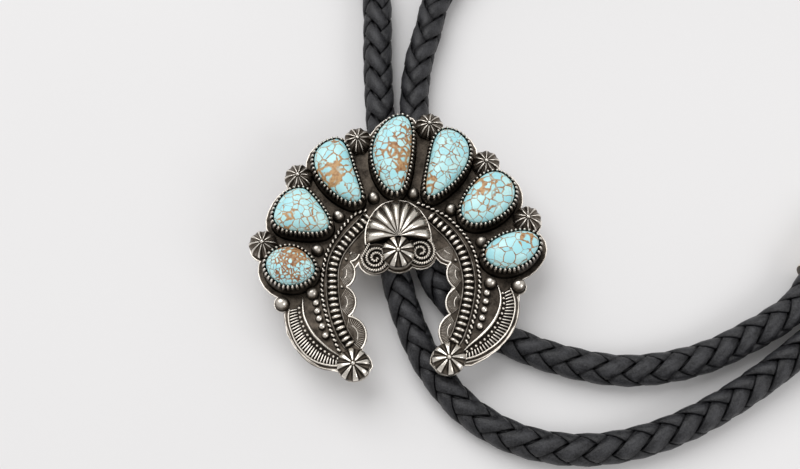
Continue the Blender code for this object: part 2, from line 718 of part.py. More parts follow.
def make_clip(collection):
    """The plain back clip: a flat floor and two walls that hold the cord against the plate."""
    top = PLATE_BOTTOM - GAP
    outer = 2 * LANE + CORD_DIAMETER + 2 * (GAP + CLIP_WALL)
    bpy.ops.mesh.primitive_cube_add(size=1, location=(CLIP_X, 0, top / 2))
    clip = bpy.context.object
    clip.name = "slide_clip"
    clip.scale = (outer, CLIP_LENGTH, top)
    bpy.ops.object.transform_apply(location=False, scale=True)
    clip.data.materials.append(material(CLIP_SILVER))
    bpy.ops.mesh.primitive_cube_add(size=1, location=(CLIP_X, 0, CLIP_WALL + top / 2))
    trough = bpy.context.object
    trough.scale = (outer - 2 * CLIP_WALL, CLIP_LENGTH * 2, top)
    bpy.ops.object.transform_apply(location=False, scale=True)
    combine(clip, [trough], "DIFFERENCE")
    eased = clip.modifiers.new("eased edges", "BEVEL")
    eased.width = CLIP_EDGE
    eased.segments = 2
    eased.limit_method = "ANGLE"
    for home in list(clip.users_collection):
        home.objects.unlink(clip)
    collection.objects.link(clip)


def make_cord(name, route, collection):
    """A length of cord as a round tube along its route."""
    points = smooth_line([Vector(point) for point in route], CORD_STEP)
    curve = bpy.data.curves.new(name, "CURVE")
    curve.dimensions = "3D"
    curve.bevel_depth = CORD_DIAMETER / 2
    curve.bevel_resolution = CORD_SIDES_RESOLUTION
    curve.use_fill_caps = True
    spline = curve.splines.new("POLY")
    spline.points.add(len(points) - 1)
    for knot, point in zip(spline.points, points):
        knot.co = (*point, 1)
    new_object(name, curve, LEATHER, collection)
    return points


def make_tip(name, cord_points, collection):
    """A plain silver tip in line with the end of its cord."""
    end, before = cord_points[-1], cord_points[-2]
    along = Vector((end.x - before.x, end.y - before.y, 0)).normalized()
    start = Vector((end.x, end.y, TIP_LIE)) + along * GAP
    radius = TIP_DIAMETER / 2
    profile = [dict(zip(TIP_COLUMNS, row)) for row in (
        (0.0, 0.0),
        (radius + TIP_COLLAR, 0.0),
        (radius + TIP_COLLAR, 3 * TIP_COLLAR),
        (radius, 4 * TIP_COLLAR),
        (radius, TIP_LENGTH - TIP_NOSE),
        (radius * TIP_SHOULDER, TIP_LENGTH - TIP_NOSE / 3),
        (0.0, TIP_LENGTH),
    )]
    bm = bmesh.new()
    knots = [bm.verts.new((row["reach"], 0, row["along"])) for row in reversed(profile)]
    for a, b in zip(knots, knots[1:]):
        bm.edges.new((a, b))
    mesh = bpy.data.meshes.new(name)
    bm.to_mesh(mesh)
    bm.free()
    tip = new_object(name, mesh, CLIP_SILVER, collection)
    tip.rotation_mode = "QUATERNION"
    tip.rotation_quaternion = along.to_track_quat("Z", "Y")
    tip.location = start
    turned = tip.modifiers.new("turned", "SCREW")
    turned.steps = turned.render_steps = TIP_SIDES
    turned.use_merge_vertices = True
    turned.merge_threshold = GAP / 10


def main():
    for old in list(bpy.data.objects):
        bpy.data.objects.remove(old)
    collection = bpy.data.collections.new("bolo tie")
    bpy.context.scene.collection.children.link(collection)
    make_naja(collection)
    make_stones(collection)
    make_clip(collection)
    make_cord("neck_loop", NECK_LOOP, collection)
    make_tip("tip_long", make_cord("cord_end_long", LONG_END, collection), collection)
    make_tip("tip_short", make_cord("cord_end_short", SHORT_END, collection), collection)


main()
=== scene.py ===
"""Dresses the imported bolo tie: antiqued silver, webbed turquoise and braided leather on a pale floor.

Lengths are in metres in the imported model's own frame. Flat places on the slide are shares of its half
width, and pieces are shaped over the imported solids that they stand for.
"""

import json
import math

import bpy
from mathutils import Matrix, Vector, noise
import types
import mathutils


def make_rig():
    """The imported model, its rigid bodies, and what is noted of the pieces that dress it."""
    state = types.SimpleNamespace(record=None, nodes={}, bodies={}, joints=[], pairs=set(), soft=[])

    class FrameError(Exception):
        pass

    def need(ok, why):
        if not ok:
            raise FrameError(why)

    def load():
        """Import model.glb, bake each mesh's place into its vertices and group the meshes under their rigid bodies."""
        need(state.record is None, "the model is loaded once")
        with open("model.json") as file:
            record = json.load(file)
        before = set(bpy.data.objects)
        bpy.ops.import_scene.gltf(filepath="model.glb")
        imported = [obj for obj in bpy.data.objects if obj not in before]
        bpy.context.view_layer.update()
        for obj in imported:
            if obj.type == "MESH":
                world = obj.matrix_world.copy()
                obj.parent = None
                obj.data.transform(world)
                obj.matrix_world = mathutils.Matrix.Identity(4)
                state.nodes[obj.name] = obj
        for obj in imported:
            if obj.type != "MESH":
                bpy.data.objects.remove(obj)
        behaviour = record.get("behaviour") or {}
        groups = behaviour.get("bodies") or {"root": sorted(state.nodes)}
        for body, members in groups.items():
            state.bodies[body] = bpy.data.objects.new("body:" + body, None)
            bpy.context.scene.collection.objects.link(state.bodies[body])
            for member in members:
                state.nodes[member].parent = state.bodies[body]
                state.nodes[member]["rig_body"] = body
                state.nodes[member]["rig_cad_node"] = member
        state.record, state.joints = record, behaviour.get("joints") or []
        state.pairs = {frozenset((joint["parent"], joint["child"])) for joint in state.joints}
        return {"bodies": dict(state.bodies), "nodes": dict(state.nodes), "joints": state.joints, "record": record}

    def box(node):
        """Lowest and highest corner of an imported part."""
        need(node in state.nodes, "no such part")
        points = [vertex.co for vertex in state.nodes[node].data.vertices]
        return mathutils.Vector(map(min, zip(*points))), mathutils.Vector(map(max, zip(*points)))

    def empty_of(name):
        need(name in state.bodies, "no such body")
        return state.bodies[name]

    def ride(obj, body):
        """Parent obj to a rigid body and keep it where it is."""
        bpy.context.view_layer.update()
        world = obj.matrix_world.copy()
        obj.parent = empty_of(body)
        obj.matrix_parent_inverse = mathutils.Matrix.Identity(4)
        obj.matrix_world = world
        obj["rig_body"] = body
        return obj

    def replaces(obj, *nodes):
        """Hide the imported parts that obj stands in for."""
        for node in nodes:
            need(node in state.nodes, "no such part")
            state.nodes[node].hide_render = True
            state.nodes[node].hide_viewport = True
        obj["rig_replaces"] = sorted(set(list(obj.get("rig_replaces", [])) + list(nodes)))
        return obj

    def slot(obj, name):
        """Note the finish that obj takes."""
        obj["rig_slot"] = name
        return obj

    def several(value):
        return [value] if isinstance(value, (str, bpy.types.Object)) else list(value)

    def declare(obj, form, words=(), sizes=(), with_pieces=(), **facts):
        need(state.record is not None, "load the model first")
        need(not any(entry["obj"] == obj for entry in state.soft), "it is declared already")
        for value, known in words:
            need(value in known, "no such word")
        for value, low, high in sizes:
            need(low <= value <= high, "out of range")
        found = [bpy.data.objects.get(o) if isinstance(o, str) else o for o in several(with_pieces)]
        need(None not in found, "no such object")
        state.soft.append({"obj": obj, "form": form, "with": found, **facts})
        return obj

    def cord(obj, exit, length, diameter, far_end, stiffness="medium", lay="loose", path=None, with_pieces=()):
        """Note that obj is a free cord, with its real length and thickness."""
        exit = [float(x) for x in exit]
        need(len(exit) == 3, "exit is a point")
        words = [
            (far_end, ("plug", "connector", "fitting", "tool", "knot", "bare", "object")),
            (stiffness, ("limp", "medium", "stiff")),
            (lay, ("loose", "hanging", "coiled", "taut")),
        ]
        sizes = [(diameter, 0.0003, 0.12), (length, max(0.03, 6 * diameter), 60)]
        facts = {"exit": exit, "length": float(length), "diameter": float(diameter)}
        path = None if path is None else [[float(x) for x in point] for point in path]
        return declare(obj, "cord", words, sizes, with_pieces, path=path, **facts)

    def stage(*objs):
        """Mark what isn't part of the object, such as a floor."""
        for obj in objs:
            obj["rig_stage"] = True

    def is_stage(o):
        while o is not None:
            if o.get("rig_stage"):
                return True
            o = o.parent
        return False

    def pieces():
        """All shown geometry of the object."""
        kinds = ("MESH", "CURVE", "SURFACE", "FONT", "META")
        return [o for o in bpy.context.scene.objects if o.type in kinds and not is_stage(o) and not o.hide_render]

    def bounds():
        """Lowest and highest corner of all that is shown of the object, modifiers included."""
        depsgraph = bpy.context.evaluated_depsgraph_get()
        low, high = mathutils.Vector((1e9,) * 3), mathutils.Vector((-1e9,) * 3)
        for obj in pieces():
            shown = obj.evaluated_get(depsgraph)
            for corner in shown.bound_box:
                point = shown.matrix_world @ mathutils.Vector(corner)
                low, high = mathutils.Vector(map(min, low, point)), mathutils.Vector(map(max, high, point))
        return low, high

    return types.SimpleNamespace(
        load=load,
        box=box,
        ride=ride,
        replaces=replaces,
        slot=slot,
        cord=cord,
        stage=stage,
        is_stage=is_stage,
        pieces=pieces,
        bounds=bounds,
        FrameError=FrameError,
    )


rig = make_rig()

bl_info = {
    "name": "Bolo Tie",
    "version": (1, 0, 0),
    "blender": (4, 5, 0),
    "location": "3D View > Sidebar > Bolo Tie",
    "description": "Builds a horseshoe slide with turquoise stones on a braided leather cord",
    "category": "Add Mesh",
}

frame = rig.load()
PACKED_BOX = [list(corner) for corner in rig.bounds()]
PLATE_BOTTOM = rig.box("naja")[0][2]

MM = 0.001
# Half the slide's width, which the flat places are shares of
REACH = 0.036
# Space between a stone and its bezel, and between a cord's end and what it meets
GAP = 0.3 * MM
# Points nearer to each other than this are one point
SEAM = 0.001 * MM
# How far a silver piece is sunk below the place that it stands on
SUNK = 0.2 * MM
# The clip's middle, and how far from it each cord lies
CLIP_X = 2.75 * MM
LANE = 4.45 * MM
# Heights of a cord's middle in the clip, on the floor and at a tip
HELD = 5.3 * MM
LOW = 4 * MM
TIP_LIE = 5.1 * MM
# Points round a stone's outline
OUTLINE = 96
# Where the braid's spine begins round a cord, in radians
SPINE_START = 0.5

# One row a stone, as in the part's source
STONE_COLUMNS = ("node", "x", "y", "turn", "length", "width", "left", "right", "square", "bow")
STONE_ROWS = (
    ("stone_low_left", -0.742, -0.357, 164, 0.585, 0.80, 0.06, 0.10, 1.85, 0.00),
    ("stone_left", -0.663, 0.040, 81, 0.545, 1.00, -0.24, -0.70, 2.50, 0.00),
    ("stone_upper_left", -0.384, 0.298, 112, 0.860, 0.70, 0.38, 0.33, 2.45, -0.36),
    ("stone_top", 0.002, 0.419, 81, 1.000, 0.80, 0.14, 0.03, 1.95, -0.36),
    ("stone_upper_right", 0.342, 0.319, 69, 0.900, 0.73, 0.26, 0.50, 2.20, 0.35),
    ("stone_right", 0.616, 0.043, 41, 0.747, 0.85, 0.20, 0.13, 2.20, 0.09),
    ("stone_low_right", 0.754, -0.328, 15.5, 0.673, 0.71, 0.02, -0.09, 2.00, 0.12),
)
STONES = [dict(zip(STONE_COLUMNS, row)) for row in STONE_ROWS]

# Each stone's web: cell size, web width, patches of matrix, how rusty it is, its seed, and where and
# how far the matrix spreads
WEB_COLUMNS = ("cells", "web", "patches", "rust", "seed", "x", "y", "reach")
WEB_ROWS = (
    (960, 0.140, 0.10, 0.62, 3.1, -0.730, -0.320, 4.6 * MM),
    (560, 0.095, 0.05, 0.12, 8.4, -0.740, -0.020, 3.2 * MM),
    (420, 0.100, 0.08, 0.20, 1.7, -0.430, 0.290, 4.4 * MM),
    (640, 0.095, 0.05, 0.45, 5.2, 0.060, 0.360, 7.5 * MM),
    (560, 0.085, 0.04, 0.40, 9.9, 0.255, 0.180, 4.0 * MM),
    (480, 0.110, 0.05, 0.22, 2.6, 0.590, 0.110, 3.6 * MM),
    (430, 0.085, 0.02, 0.36, 7.3, 0.850, -0.290, 3.2 * MM),
)
WEBS = [dict(zip(WEB_COLUMNS, row)) for row in WEB_ROWS]

# Places of the round ornaments
SMALL_BUTTONS = (
    (-0.932, -0.157), (-0.674, 0.318), (-0.249, 0.571), (0.263, 0.651), (0.638, 0.342), (0.887, -0.089),
)
MIDDLE_BUTTON = (-0.014, -0.281)
TIP_BUTTONS = ((-0.356, -1.028), (0.277, -1.026))
SHELL_FOOT = (-0.008, -0.172)
BALLS = (
    (-0.161, 0.139), (0.117, 0.150), (-0.408, 0.019), (0.369, 0.019),
    (-0.564, -0.219), (0.561, -0.228), (-0.608, -0.525), (0.596, -0.523),
)
OUTER_BALLS = ((-0.815, -0.583), (0.785, -0.554))
BEADS = (
    (-0.587, -0.589), (-0.581, -0.647), (-0.570, -0.700), (-0.553, -0.754), (-0.532, -0.818),
    (0.566, -0.590), (0.553, -0.650), (0.538, -0.706), (0.519, -0.762), (0.498, -0.816),
)

# The coils of wire, wound inwards from their outer end
SPIRAL_COLUMNS = ("x", "y", "outer", "inner", "turns", "start", "hand", "tail")
SPIRAL_ROWS = (
    (-0.169, -0.304, 3.45 * MM, 0.45 * MM, 2.5, 172, 1, (-1.35 * MM, 3.8 * MM)),
    (0.140, -0.275, 3.55 * MM, 0.55 * MM, 2.45, 62, -1, None),
)
SPIRALS = [dict(zip(SPIRAL_COLUMNS, row)) for row in SPIRAL_ROWS]

# Rims of the inner border's scallops, each by its start, its bulge and its end
LEFT_SCALLOPS = (
    ((-0.278, -0.262), (-0.315, -0.303), (-0.346, -0.311)),
    ((-0.346, -0.311), (-0.316, -0.385), (-0.381, -0.489)),
    ((-0.381, -0.489), (-0.320, -0.594), (-0.378, -0.695)),
    ((-0.378, -0.695), (-0.262, -0.840), (-0.305, -0.925)),
)
RIGHT_SCALLOPS = (
    ((0.245, -0.275), (0.285, -0.330), (0.344, -0.356)),
    ((0.344, -0.356), (0.309, -0.430), (0.357, -0.541)),
    ((0.357, -0.541), (0.287, -0.640), (0.311, -0.722)),
    ((0.311, -0.722), (0.228, -0.824), (0.250, -0.925)),
)
CUSP_DOTS = ((-0.410, -0.486), (-0.372, -0.292), (0.374, -0.344))

# Lines of the wires and leaves, from the shell down
LEFT_RIBBED = (
    (-0.205, 0.004), (-0.258, -0.052), (-0.346, -0.140), (-0.424, -0.243), (-0.465, -0.357),
    (-0.473, -0.483), (-0.468, -0.603), (-0.449, -0.713), (-0.411, -0.823), (-0.370, -0.893),
)
RIGHT_RIBBED = (
    (0.225, -0.018), (0.289, -0.087), (0.364, -0.179), (0.422, -0.291), (0.449, -0.412),
    (0.453, -0.520), (0.435, -0.623), (0.400, -0.743), (0.352, -0.863), (0.318, -0.915),
)
LEFT_ROPE = (
    (-0.214, 0.051), (-0.294, 0.029), (-0.356, -0.030), (-0.419, -0.104), (-0.494, -0.228),
    (-0.532, -0.363), (-0.547, -0.504), (-0.533, -0.624), (-0.500, -0.774), (-0.446, -0.930),
)
RIGHT_ROPE = (
    (0.141, 0.085), (0.226, 0.041), (0.329, -0.022), (0.403, -0.103), (0.467, -0.199), (0.509, -0.308),
    (0.526, -0.456), (0.518, -0.568), (0.491, -0.678), (0.455, -0.786), (0.400, -0.925),
)
LEFT_RIDGE = (
    (-0.674, -0.546), (-0.676, -0.617), (-0.668, -0.683), (-0.642, -0.751), (-0.606, -0.814),
    (-0.562, -0.864), (-0.513, -0.911), (-0.445, -0.962),
)
RIGHT_RIDGE = (
    (0.641, -0.533), (0.656, -0.610), (0.646, -0.687), (0.612, -0.762), (0.558, -0.830),
    (0.489, -0.892), (0.421, -0.942), (0.380, -0.978),
)
LEFT_DOTS = (
    (-0.713, -0.614), (-0.707, -0.685), (-0.688, -0.746), (-0.666, -0.806), (-0.626, -0.863),
    (-0.571, -0.918), (-0.494, -0.970), (-0.445, -0.992),
)
RIGHT_DOTS = (
    (0.680, -0.590), (0.682, -0.676), (0.660, -0.749), (0.628, -0.811), (0.585, -0.866),
    (0.538, -0.914), (0.446, -0.971), (0.390, -0.995),
)
LEFT_RIM = (
    (-0.766, -0.622), (-0.775, -0.666), (-0.772, -0.719), (-0.757, -0.781), (-0.735, -0.843),
    (-0.703, -0.897), (-0.663, -0.947), (-0.613, -0.985), (-0.559, -1.009), (-0.497, -1.024),
    (-0.440, -1.027),
)
RIGHT_RIM = (
    (0.728, -0.562), (0.741, -0.602), (0.749, -0.658), (0.743, -0.724), (0.717, -0.800),
    (0.673, -0.874), (0.603, -0.940), (0.524, -0.989), (0.458, -1.018), (0.380, -1.034),
)

# The outer edge of the plate by each leaf
LEFT_EDGE = (
    (-0.802, -0.640), (-0.797, -0.708), (-0.781, -0.768), (-0.756, -0.836), (-0.724, -0.896),
    (-0.683, -0.953), (-0.634, -0.997), (-0.582, -1.026), (-0.526, -1.044), (-0.450, -1.050),
)
RIGHT_EDGE = (
    (0.772, -0.620), (0.775, -0.660), (0.768, -0.735), (0.741, -0.815), (0.694, -0.890),
    (0.620, -0.960), (0.537, -1.012), (0.466, -1.040), (0.380, -1.055),
)

# A cord tip's outline in millimetres: how far out, how far along from the cord's end, and how worn
TIP_ROWS = (
    (0.0, 0.0, 0.0), (4.90, 0.0, 0.3), (5.10, 0.2, 0.9), (5.10, 0.9, 0.95), (4.90, 1.2, 0.5),
    (4.60, 1.3, 0.0), (4.60, 1.6, 0.0), (4.84, 1.8, 0.8), (4.90, 2.0, 0.95), (4.84, 2.2, 0.8),
    (4.60, 2.4, 0.0), (4.60, 2.6, 0.1), (4.70, 2.9, 0.75), (4.70, 10.0, 0.70), (4.70, 17.6, 0.75),
    (4.58, 17.8, 0.0), (4.58, 18.0, 0.0), (4.78, 18.2, 0.85), (4.78, 18.7, 0.85), (4.55, 18.9, 0.1),
    (4.60, 19.2, 0.7), (4.35, 20.3, 0.75), (3.80, 21.2, 0.85), (2.60, 21.8, 0.85), (1.20, 22.0, 0.80),
    (0.0, 22.0, 0.8),
)

# Where a strip's rows lie between two dives, in places of the braid from the middle of a crossing
BRAID_ROWS = (-0.94, -0.75, -0.40, 0.0, 0.40, 0.75, 0.94)

# The cord's routes, as in the part's source
NECK_LOOP = (
    (CLIP_X - LANE, 0.0, HELD), (CLIP_X - LANE, 0.0055, HELD), (CLIP_X - LANE, 0.0110, HELD),
    (-0.0025, 0.0200, LOW + 0.0004), (-0.0028, 0.0317, LOW), (-0.0026, 0.0469, LOW),
    (-0.0019, 0.0652, LOW), (-0.0045, 0.0800, LOW), (-0.0130, 0.0950, LOW), (-0.0240, 0.1080, LOW),
    (-0.0310, 0.1240, LOW), (-0.0290, 0.1420, LOW), (-0.0160, 0.1560, LOW), (0.0080, 0.1650, LOW),
    (0.0380, 0.1680, LOW), (0.0700, 0.1670, LOW), (0.0980, 0.1590, LOW), (0.1150, 0.1440, LOW),
    (0.1180, 0.1240, LOW), (0.1080, 0.1070, LOW), (0.0880, 0.0950, LOW), (0.0620, 0.0885, LOW),
    (0.0400, 0.0850, LOW), (0.0240, 0.0775, LOW), (0.0148, 0.0645, LOW), (0.0116, 0.0551, LOW),
    (0.0084, 0.0457, LOW), (0.0064, 0.0340, LOW), (0.0064, 0.0215, LOW + 0.0004),
    (CLIP_X + LANE, 0.0110, HELD), (CLIP_X + LANE, 0.0055, HELD), (CLIP_X + LANE, 0.0, HELD),
)
LONG_END = (
    (CLIP_X - LANE, -GAP, HELD), (CLIP_X - LANE, -0.0055, HELD), (CLIP_X - LANE, -0.0110, HELD),
    (-0.0011, -0.0150, HELD - 0.0006), (-0.0002, -0.0197, LOW + 0.0002), (0.0013, -0.0254, LOW),
    (0.0033, -0.0315, LOW), (0.0057, -0.0370, LOW), (0.0087, -0.0419, LOW), (0.0123, -0.0467, LOW),
    (0.0169, -0.0509, LOW), (0.0230, -0.0548, LOW), (0.0300, -0.0576, LOW), (0.0380, -0.0592, LOW),
    (0.0466, -0.0594, LOW), (0.0562, -0.0580, LOW), (0.0660, -0.0551, LOW), (0.0761, -0.0507, LOW),
    (0.0861, -0.0452, LOW + 0.0003), (0.0950, -0.0395, TIP_LIE), (0.1045, -0.0330, TIP_LIE),
)
SHORT_END = (
    (CLIP_X + LANE, -GAP, HELD), (CLIP_X + LANE, -0.0055, HELD), (CLIP_X + LANE, -0.0110, HELD),
    (0.0085, -0.0155, HELD - 0.0006), (0.0120, -0.0210, LOW + 0.0002), (0.0175, -0.0270, LOW),
    (0.0254, -0.0318, LOW), (0.0335, -0.0358, LOW), (0.0432, -0.0391, LOW), (0.0520, -0.0409, LOW),
    (0.0605, -0.0410, LOW), (0.0689, -0.0399, LOW), (0.0766, -0.0378, LOW), (0.0840, -0.0347, LOW + 0.0003),
    (0.0900, -0.0320, TIP_LIE), (0.0970, -0.0277, TIP_LIE), (0.1028, -0.0212, TIP_LIE),
)


def length_value(name, description, millimetres):
    """A length that a user may change, given in millimetres."""
    return bpy.props.FloatProperty(
        name=name, description=description, default=millimetres * MM, min=0.0, unit="LENGTH", precision=5
    )


def colour_value(name, description, colour):
    """A colour that a user may change."""
    return bpy.props.FloatVectorProperty(
        name=name, description=description, default=colour, size=3, min=0.0, max=1.0, subtype="COLOR"
    )


class SilverSettings(bpy.types.PropertyGroup):
    """Sizes and colours of the silver."""

    plate_thickness: length_value("Plate thickness", "Thickness of the back plate", 1.0)
    bezel_height: length_value("Bezel height", "Height of a bezel over the plate", 5.0)
    bezel_wall: length_value("Bezel wall", "Thickness of a bezel's wall", 0.7)
    tooth_pitch: length_value("Tooth pitch", "Distance from one bezel tooth to the next", 1.2)
    small_button: length_value("Small button radius", "Radius of the buttons between the stones", 3.6)
    large_button: length_value("Large button radius", "Radius of the middle button and the two ends", 4.0)
    shell_height: length_value("Shell height", "Height of the shell from its foot to its rim", 10.2)
    shell_half_width: length_value("Shell half width", "Half the width of the shell", 8.3)
    shell_rise: length_value("Shell rise", "How far the shell stands over the plate", 4.0)
    spiral_pad: length_value("Spiral pad radius", "Radius of the disc under a spiral of wire", 3.9)
    spiral_wire: length_value("Spiral wire", "Thickness of the twisted wire of a spiral", 0.80)
    rope_wire: length_value("Rope wire", "Thickness of the twisted rope wires", 1.15)
    rope_pitch: length_value("Rope pitch", "Distance from one lay of the rope wires to the next", 1.26)
    rib_pitch: length_value("Rib pitch", "Distance from one rib of the ribbed wires to the next", 1.46)
    ball: length_value("Ball radius", "Radius of the balls by the stones", 1.45)
    outer_ball: length_value("Outer ball radius", "Radius of the two balls on the outer edge", 1.65)
    bead: length_value("Bead radius", "Radius of the beads in a row", 0.86)
    scallop_depth: length_value("Scallop depth", "How far a scallop reaches in from its rim", 2.9)
    tarnish: colour_value("Tarnish", "Colour in the deepest recesses", (0.012, 0.010, 0.008))
    dull: colour_value("Dull silver", "Colour of the open flats", (0.135, 0.112, 0.090))
    bright: colour_value("Bright silver", "Colour of the worn crests", (0.800, 0.750, 0.680))


class StoneSettings(bpy.types.PropertyGroup):
    """Sizes and colours of the turquoise."""

    full_length: length_value("Full length", "Length of the longest stone", 20.2)
    full_width: length_value("Full width", "Width of the widest stone", 11.8)
    girdle: length_value("Girdle height", "Height of a stone's straight side", 4.4)
    dome: length_value("Dome height", "Height of a stone's dome over its side", 2.6)
    sky: colour_value("Sky blue", "Main colour of the stones", (0.290, 0.670, 0.760))
    pale: colour_value("Pale blue", "Colour of the paler cells", (0.530, 0.820, 0.820))
    tan: colour_value("Tan matrix", "Colour of the open matrix", (0.520, 0.320, 0.150))
    rust: colour_value("Rust matrix", "Colour of the dark web", (0.210, 0.075, 0.025))


class CordSettings(bpy.types.PropertyGroup):
    """Sizes and colours of the leather cord."""

    diameter: length_value("Diameter", "Diameter of the braided cord", 8.0)
    lead: length_value("Lead", "Length in which a strip goes once round the cord", 27.0)
    strip_thickness: length_value("Strip thickness", "Thickness of one braided strip", 1.0)
    fill: bpy.props.FloatProperty(
        name="Strip fill", description="Share of its place in the braid that a strip fills", default=0.91,
        min=0.5, max=1.0, subtype="FACTOR",
    )
    turns: bpy.props.FloatProperty(
        name="Spine twist", description="Turns of the braid's spine in a metre", default=1.6, min=-20, max=20
    )
    # The leather colour also stands as painted shade where the strips dive and along their edges; the worn colour is
    # that of their rubbed crowns.
    leather: colour_value("Leather", "Colour of the strips", (0.0042, 0.0042, 0.0054))
    worn_leather: colour_value("Worn leather", "Colour of the rubbed strips", (0.044, 0.0445, 0.049))


class StageSettings(bpy.types.PropertyGroup):
    """The camera, the lights and the floor."""

    elevation: bpy.props.FloatProperty(
        name="Elevation", description="Angle of the camera over the floor",
        default=math.radians(71.5), subtype="ANGLE",
    )
    azimuth: bpy.props.FloatProperty(
        name="Azimuth", description="Turn of the camera round the part",
        default=math.radians(-3.5), subtype="ANGLE",
    )
    distance: length_value("Distance", "From the camera to its target", 278.0)
    key_power: bpy.props.FloatProperty(
        name="Key light", description="Power of the large light", default=16.5, min=0.0, unit="POWER"
    )
    fill_power: bpy.props.FloatProperty(
        name="Fill light", description="Power of the smaller light", default=0.9, min=0.0, unit="POWER"
    )
    sky_strength: bpy.props.FloatProperty(
        name="Surroundings", description="Strength of the even light all round", default=0.58, min=0.0
    )
    floor: colour_value("Floor", "Colour of the floor", (0.740, 0.735, 0.740))


class BoloTieSettings(bpy.types.PropertyGroup):
    """Everything that a user would change on the bolo tie."""

    silver: bpy.props.PointerProperty(type=SilverSettings)
    stone: bpy.props.PointerProperty(type=StoneSettings)
    cord: bpy.props.PointerProperty(type=CordSettings)
    stage: bpy.props.PointerProperty(type=StageSettings)


def settings():
    """The values in force."""
    return bpy.context.scene.bolo_tie


def plate_top():
    """Height of the back plate's front."""
    return PLATE_BOTTOM + settings().silver.plate_thickness


def place(share):
    """A flat place on the slide from its shares of the half width."""
    return Vector((share[0] * REACH, share[1] * REACH, 0.0))


def standing(share, height):
    """A matrix that stands a piece at a flat place and a height."""
    return Matrix.Translation(place(share) + Vector((0, 0, height)))


def clamp(value, low=0.0, high=1.0):
    """The value held between two others."""
    return max(low, min(high, value))


def signed_power(value, power):
    """A power that keeps the sign."""
    return math.copysign(abs(value) ** power, value)


def select_only(*pieces):
    """Selects these pieces and nothing else, the first one active."""
    if bpy.context.mode != "OBJECT":
        bpy.ops.object.mode_set(mode="OBJECT")
    bpy.ops.object.select_all(action="DESELECT")
    for piece in pieces:
        piece.select_set(True)
    bpy.context.view_layer.objects.active = pieces[0]


def edit_faces(piece, wanted):
    """Goes into edit mode with only the wanted faces of a piece selected."""
    select_only(piece)
    bpy.context.tool_settings.mesh_select_mode = (False, False, True)
    bpy.ops.object.mode_set(mode="EDIT")
    bpy.ops.mesh.select_all(action="DESELECT")
    bpy.ops.object.mode_set(mode="OBJECT")
    for face in piece.data.polygons:
        face.select = wanted(face)
    bpy.ops.object.mode_set(mode="EDIT")


def formed(name, columns, rows, shape, sharp=None):
    """A grid shaped by shape(u, v), which gives a point and how worn it is, closed at seams and poles."""
    bpy.ops.object.select_all(action="DESELECT")
    bpy.ops.mesh.primitive_grid_add(x_subdivisions=columns, y_subdivisions=rows, size=1)
    piece = bpy.context.object
    piece.name = name
    mesh = piece.data
    points, wear = [], []
    for vertex in mesh.vertices:
        point, worn = shape(vertex.co.x + 0.5, vertex.co.y + 0.5)
        points.extend(point)
        wear.append(clamp(worn))
    mesh.vertices.foreach_set("co", points)
    mesh.attributes.new("worn", "FLOAT", "POINT").data.foreach_set("value", wear)
    bpy.ops.object.mode_set(mode="EDIT")
    bpy.ops.mesh.select_all(action="SELECT")
    bpy.ops.mesh.remove_doubles(threshold=SEAM)
    bpy.ops.mesh.normals_make_consistent(inside=False)
    bpy.ops.object.mode_set(mode="OBJECT")
    if sharp:
        bpy.ops.object.shade_smooth_by_angle(angle=math.radians(sharp))
    else:
        bpy.ops.object.shade_smooth()
    return piece


def joined(name, parts):
    """The parts as one piece."""
    select_only(*parts)
    if len(parts) > 1:
        bpy.ops.object.join()
    parts[0].name = name
    return parts[0]


def copied(name, pattern, spots):
    """A copy of the pattern with its own mesh at each spot, as one piece. The pattern goes."""
    parts = []
    for spot in spots:
        part = pattern.copy()
        part.data = pattern.data.copy()
        part.data.transform(spot)
        bpy.context.collection.objects.link(part)
        parts.append(part)
    bpy.data.objects.remove(pattern)
    return joined(name, parts)


def finished(piece, material, slot, node):
    """Gives a piece its finish and its place in the model."""
    piece.data.materials.clear()
    piece.data.materials.append(material)
    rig.ride(piece, "root")
    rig.slot(piece, slot)
    if node:
        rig.replaces(piece, node)
    return piece


def on_slide(piece):
    """Finishes a silver piece of the slide's front."""
    return finished(piece, silver_material(), "silver", "naja")


def evenly_spaced(points, count):
    """Points at so many even steps along a row of points, with both ends."""
    along = [0.0]
    for a, b in zip(points, points[1:]):
        along.append(along[-1] + (b - a).length)
    spaced, k = [], 0
    for n in range(count + 1):
        goal = along[-1] * n / count
        while k < len(along) - 2 and along[k + 1] < goal:
            k += 1
        spaced.append(points[k].lerp(points[k + 1], (goal - along[k]) / (along[k + 1] - along[k])))
    return spaced


def line_length(points):
    """The length along a row of points."""
    return sum((b - a).length for a, b in zip(points, points[1:]))


def smooth_line(points, step):
    """Points about one step apart along a smooth curve through the given ones."""
    points = [Vector(point) for point in points]
    ends = [points[0], *points, points[-1]]
    fine = []
    for a, b, c, d in zip(ends, ends[1:], ends[2:], ends[3:]):
        for k in range(24):
            t = k / 24
            bend = 2 * a - 5 * b + 4 * c - d
            twist = 3 * b - a - 3 * c + d
            fine.append((2 * b + (c - a) * t + bend * t**2 + twist * t**3) / 2)
    fine.append(points[-1])
    return evenly_spaced(fine, max(2, round(line_length(fine) / step)))


class Track:
    """A line with a direction, a side and an up at every point along it."""

    def __init__(self, points):
        self.points = points
        self.length = line_length(points)
        self.frames = []
        for k in range(len(points)):
            along = (points[min(k + 1, len(points) - 1)] - points[max(k - 1, 0)]).normalized()
            side = along.cross(Vector((0, 0, 1))).normalized()
            self.frames.append((along, side, side.cross(along)))

    def at(self, distance):
        """The place, direction, side and up at a distance from the start."""
        share = clamp(distance / self.length) * (len(self.points) - 1)
        k = min(int(share), len(self.points) - 2)
        rest = share - k
        one, two = self.frames[k], self.frames[k + 1]
        return (self.points[k].lerp(self.points[k + 1], rest), *(a.lerp(b, rest) for a, b in zip(one, two)))


def flat_track(line, height, step):
    """A track over the plate along a line of shares."""
    lift = Vector((0, 0, height))
    return Track([point + lift for point in smooth_line([place(share) for share in line], step)])


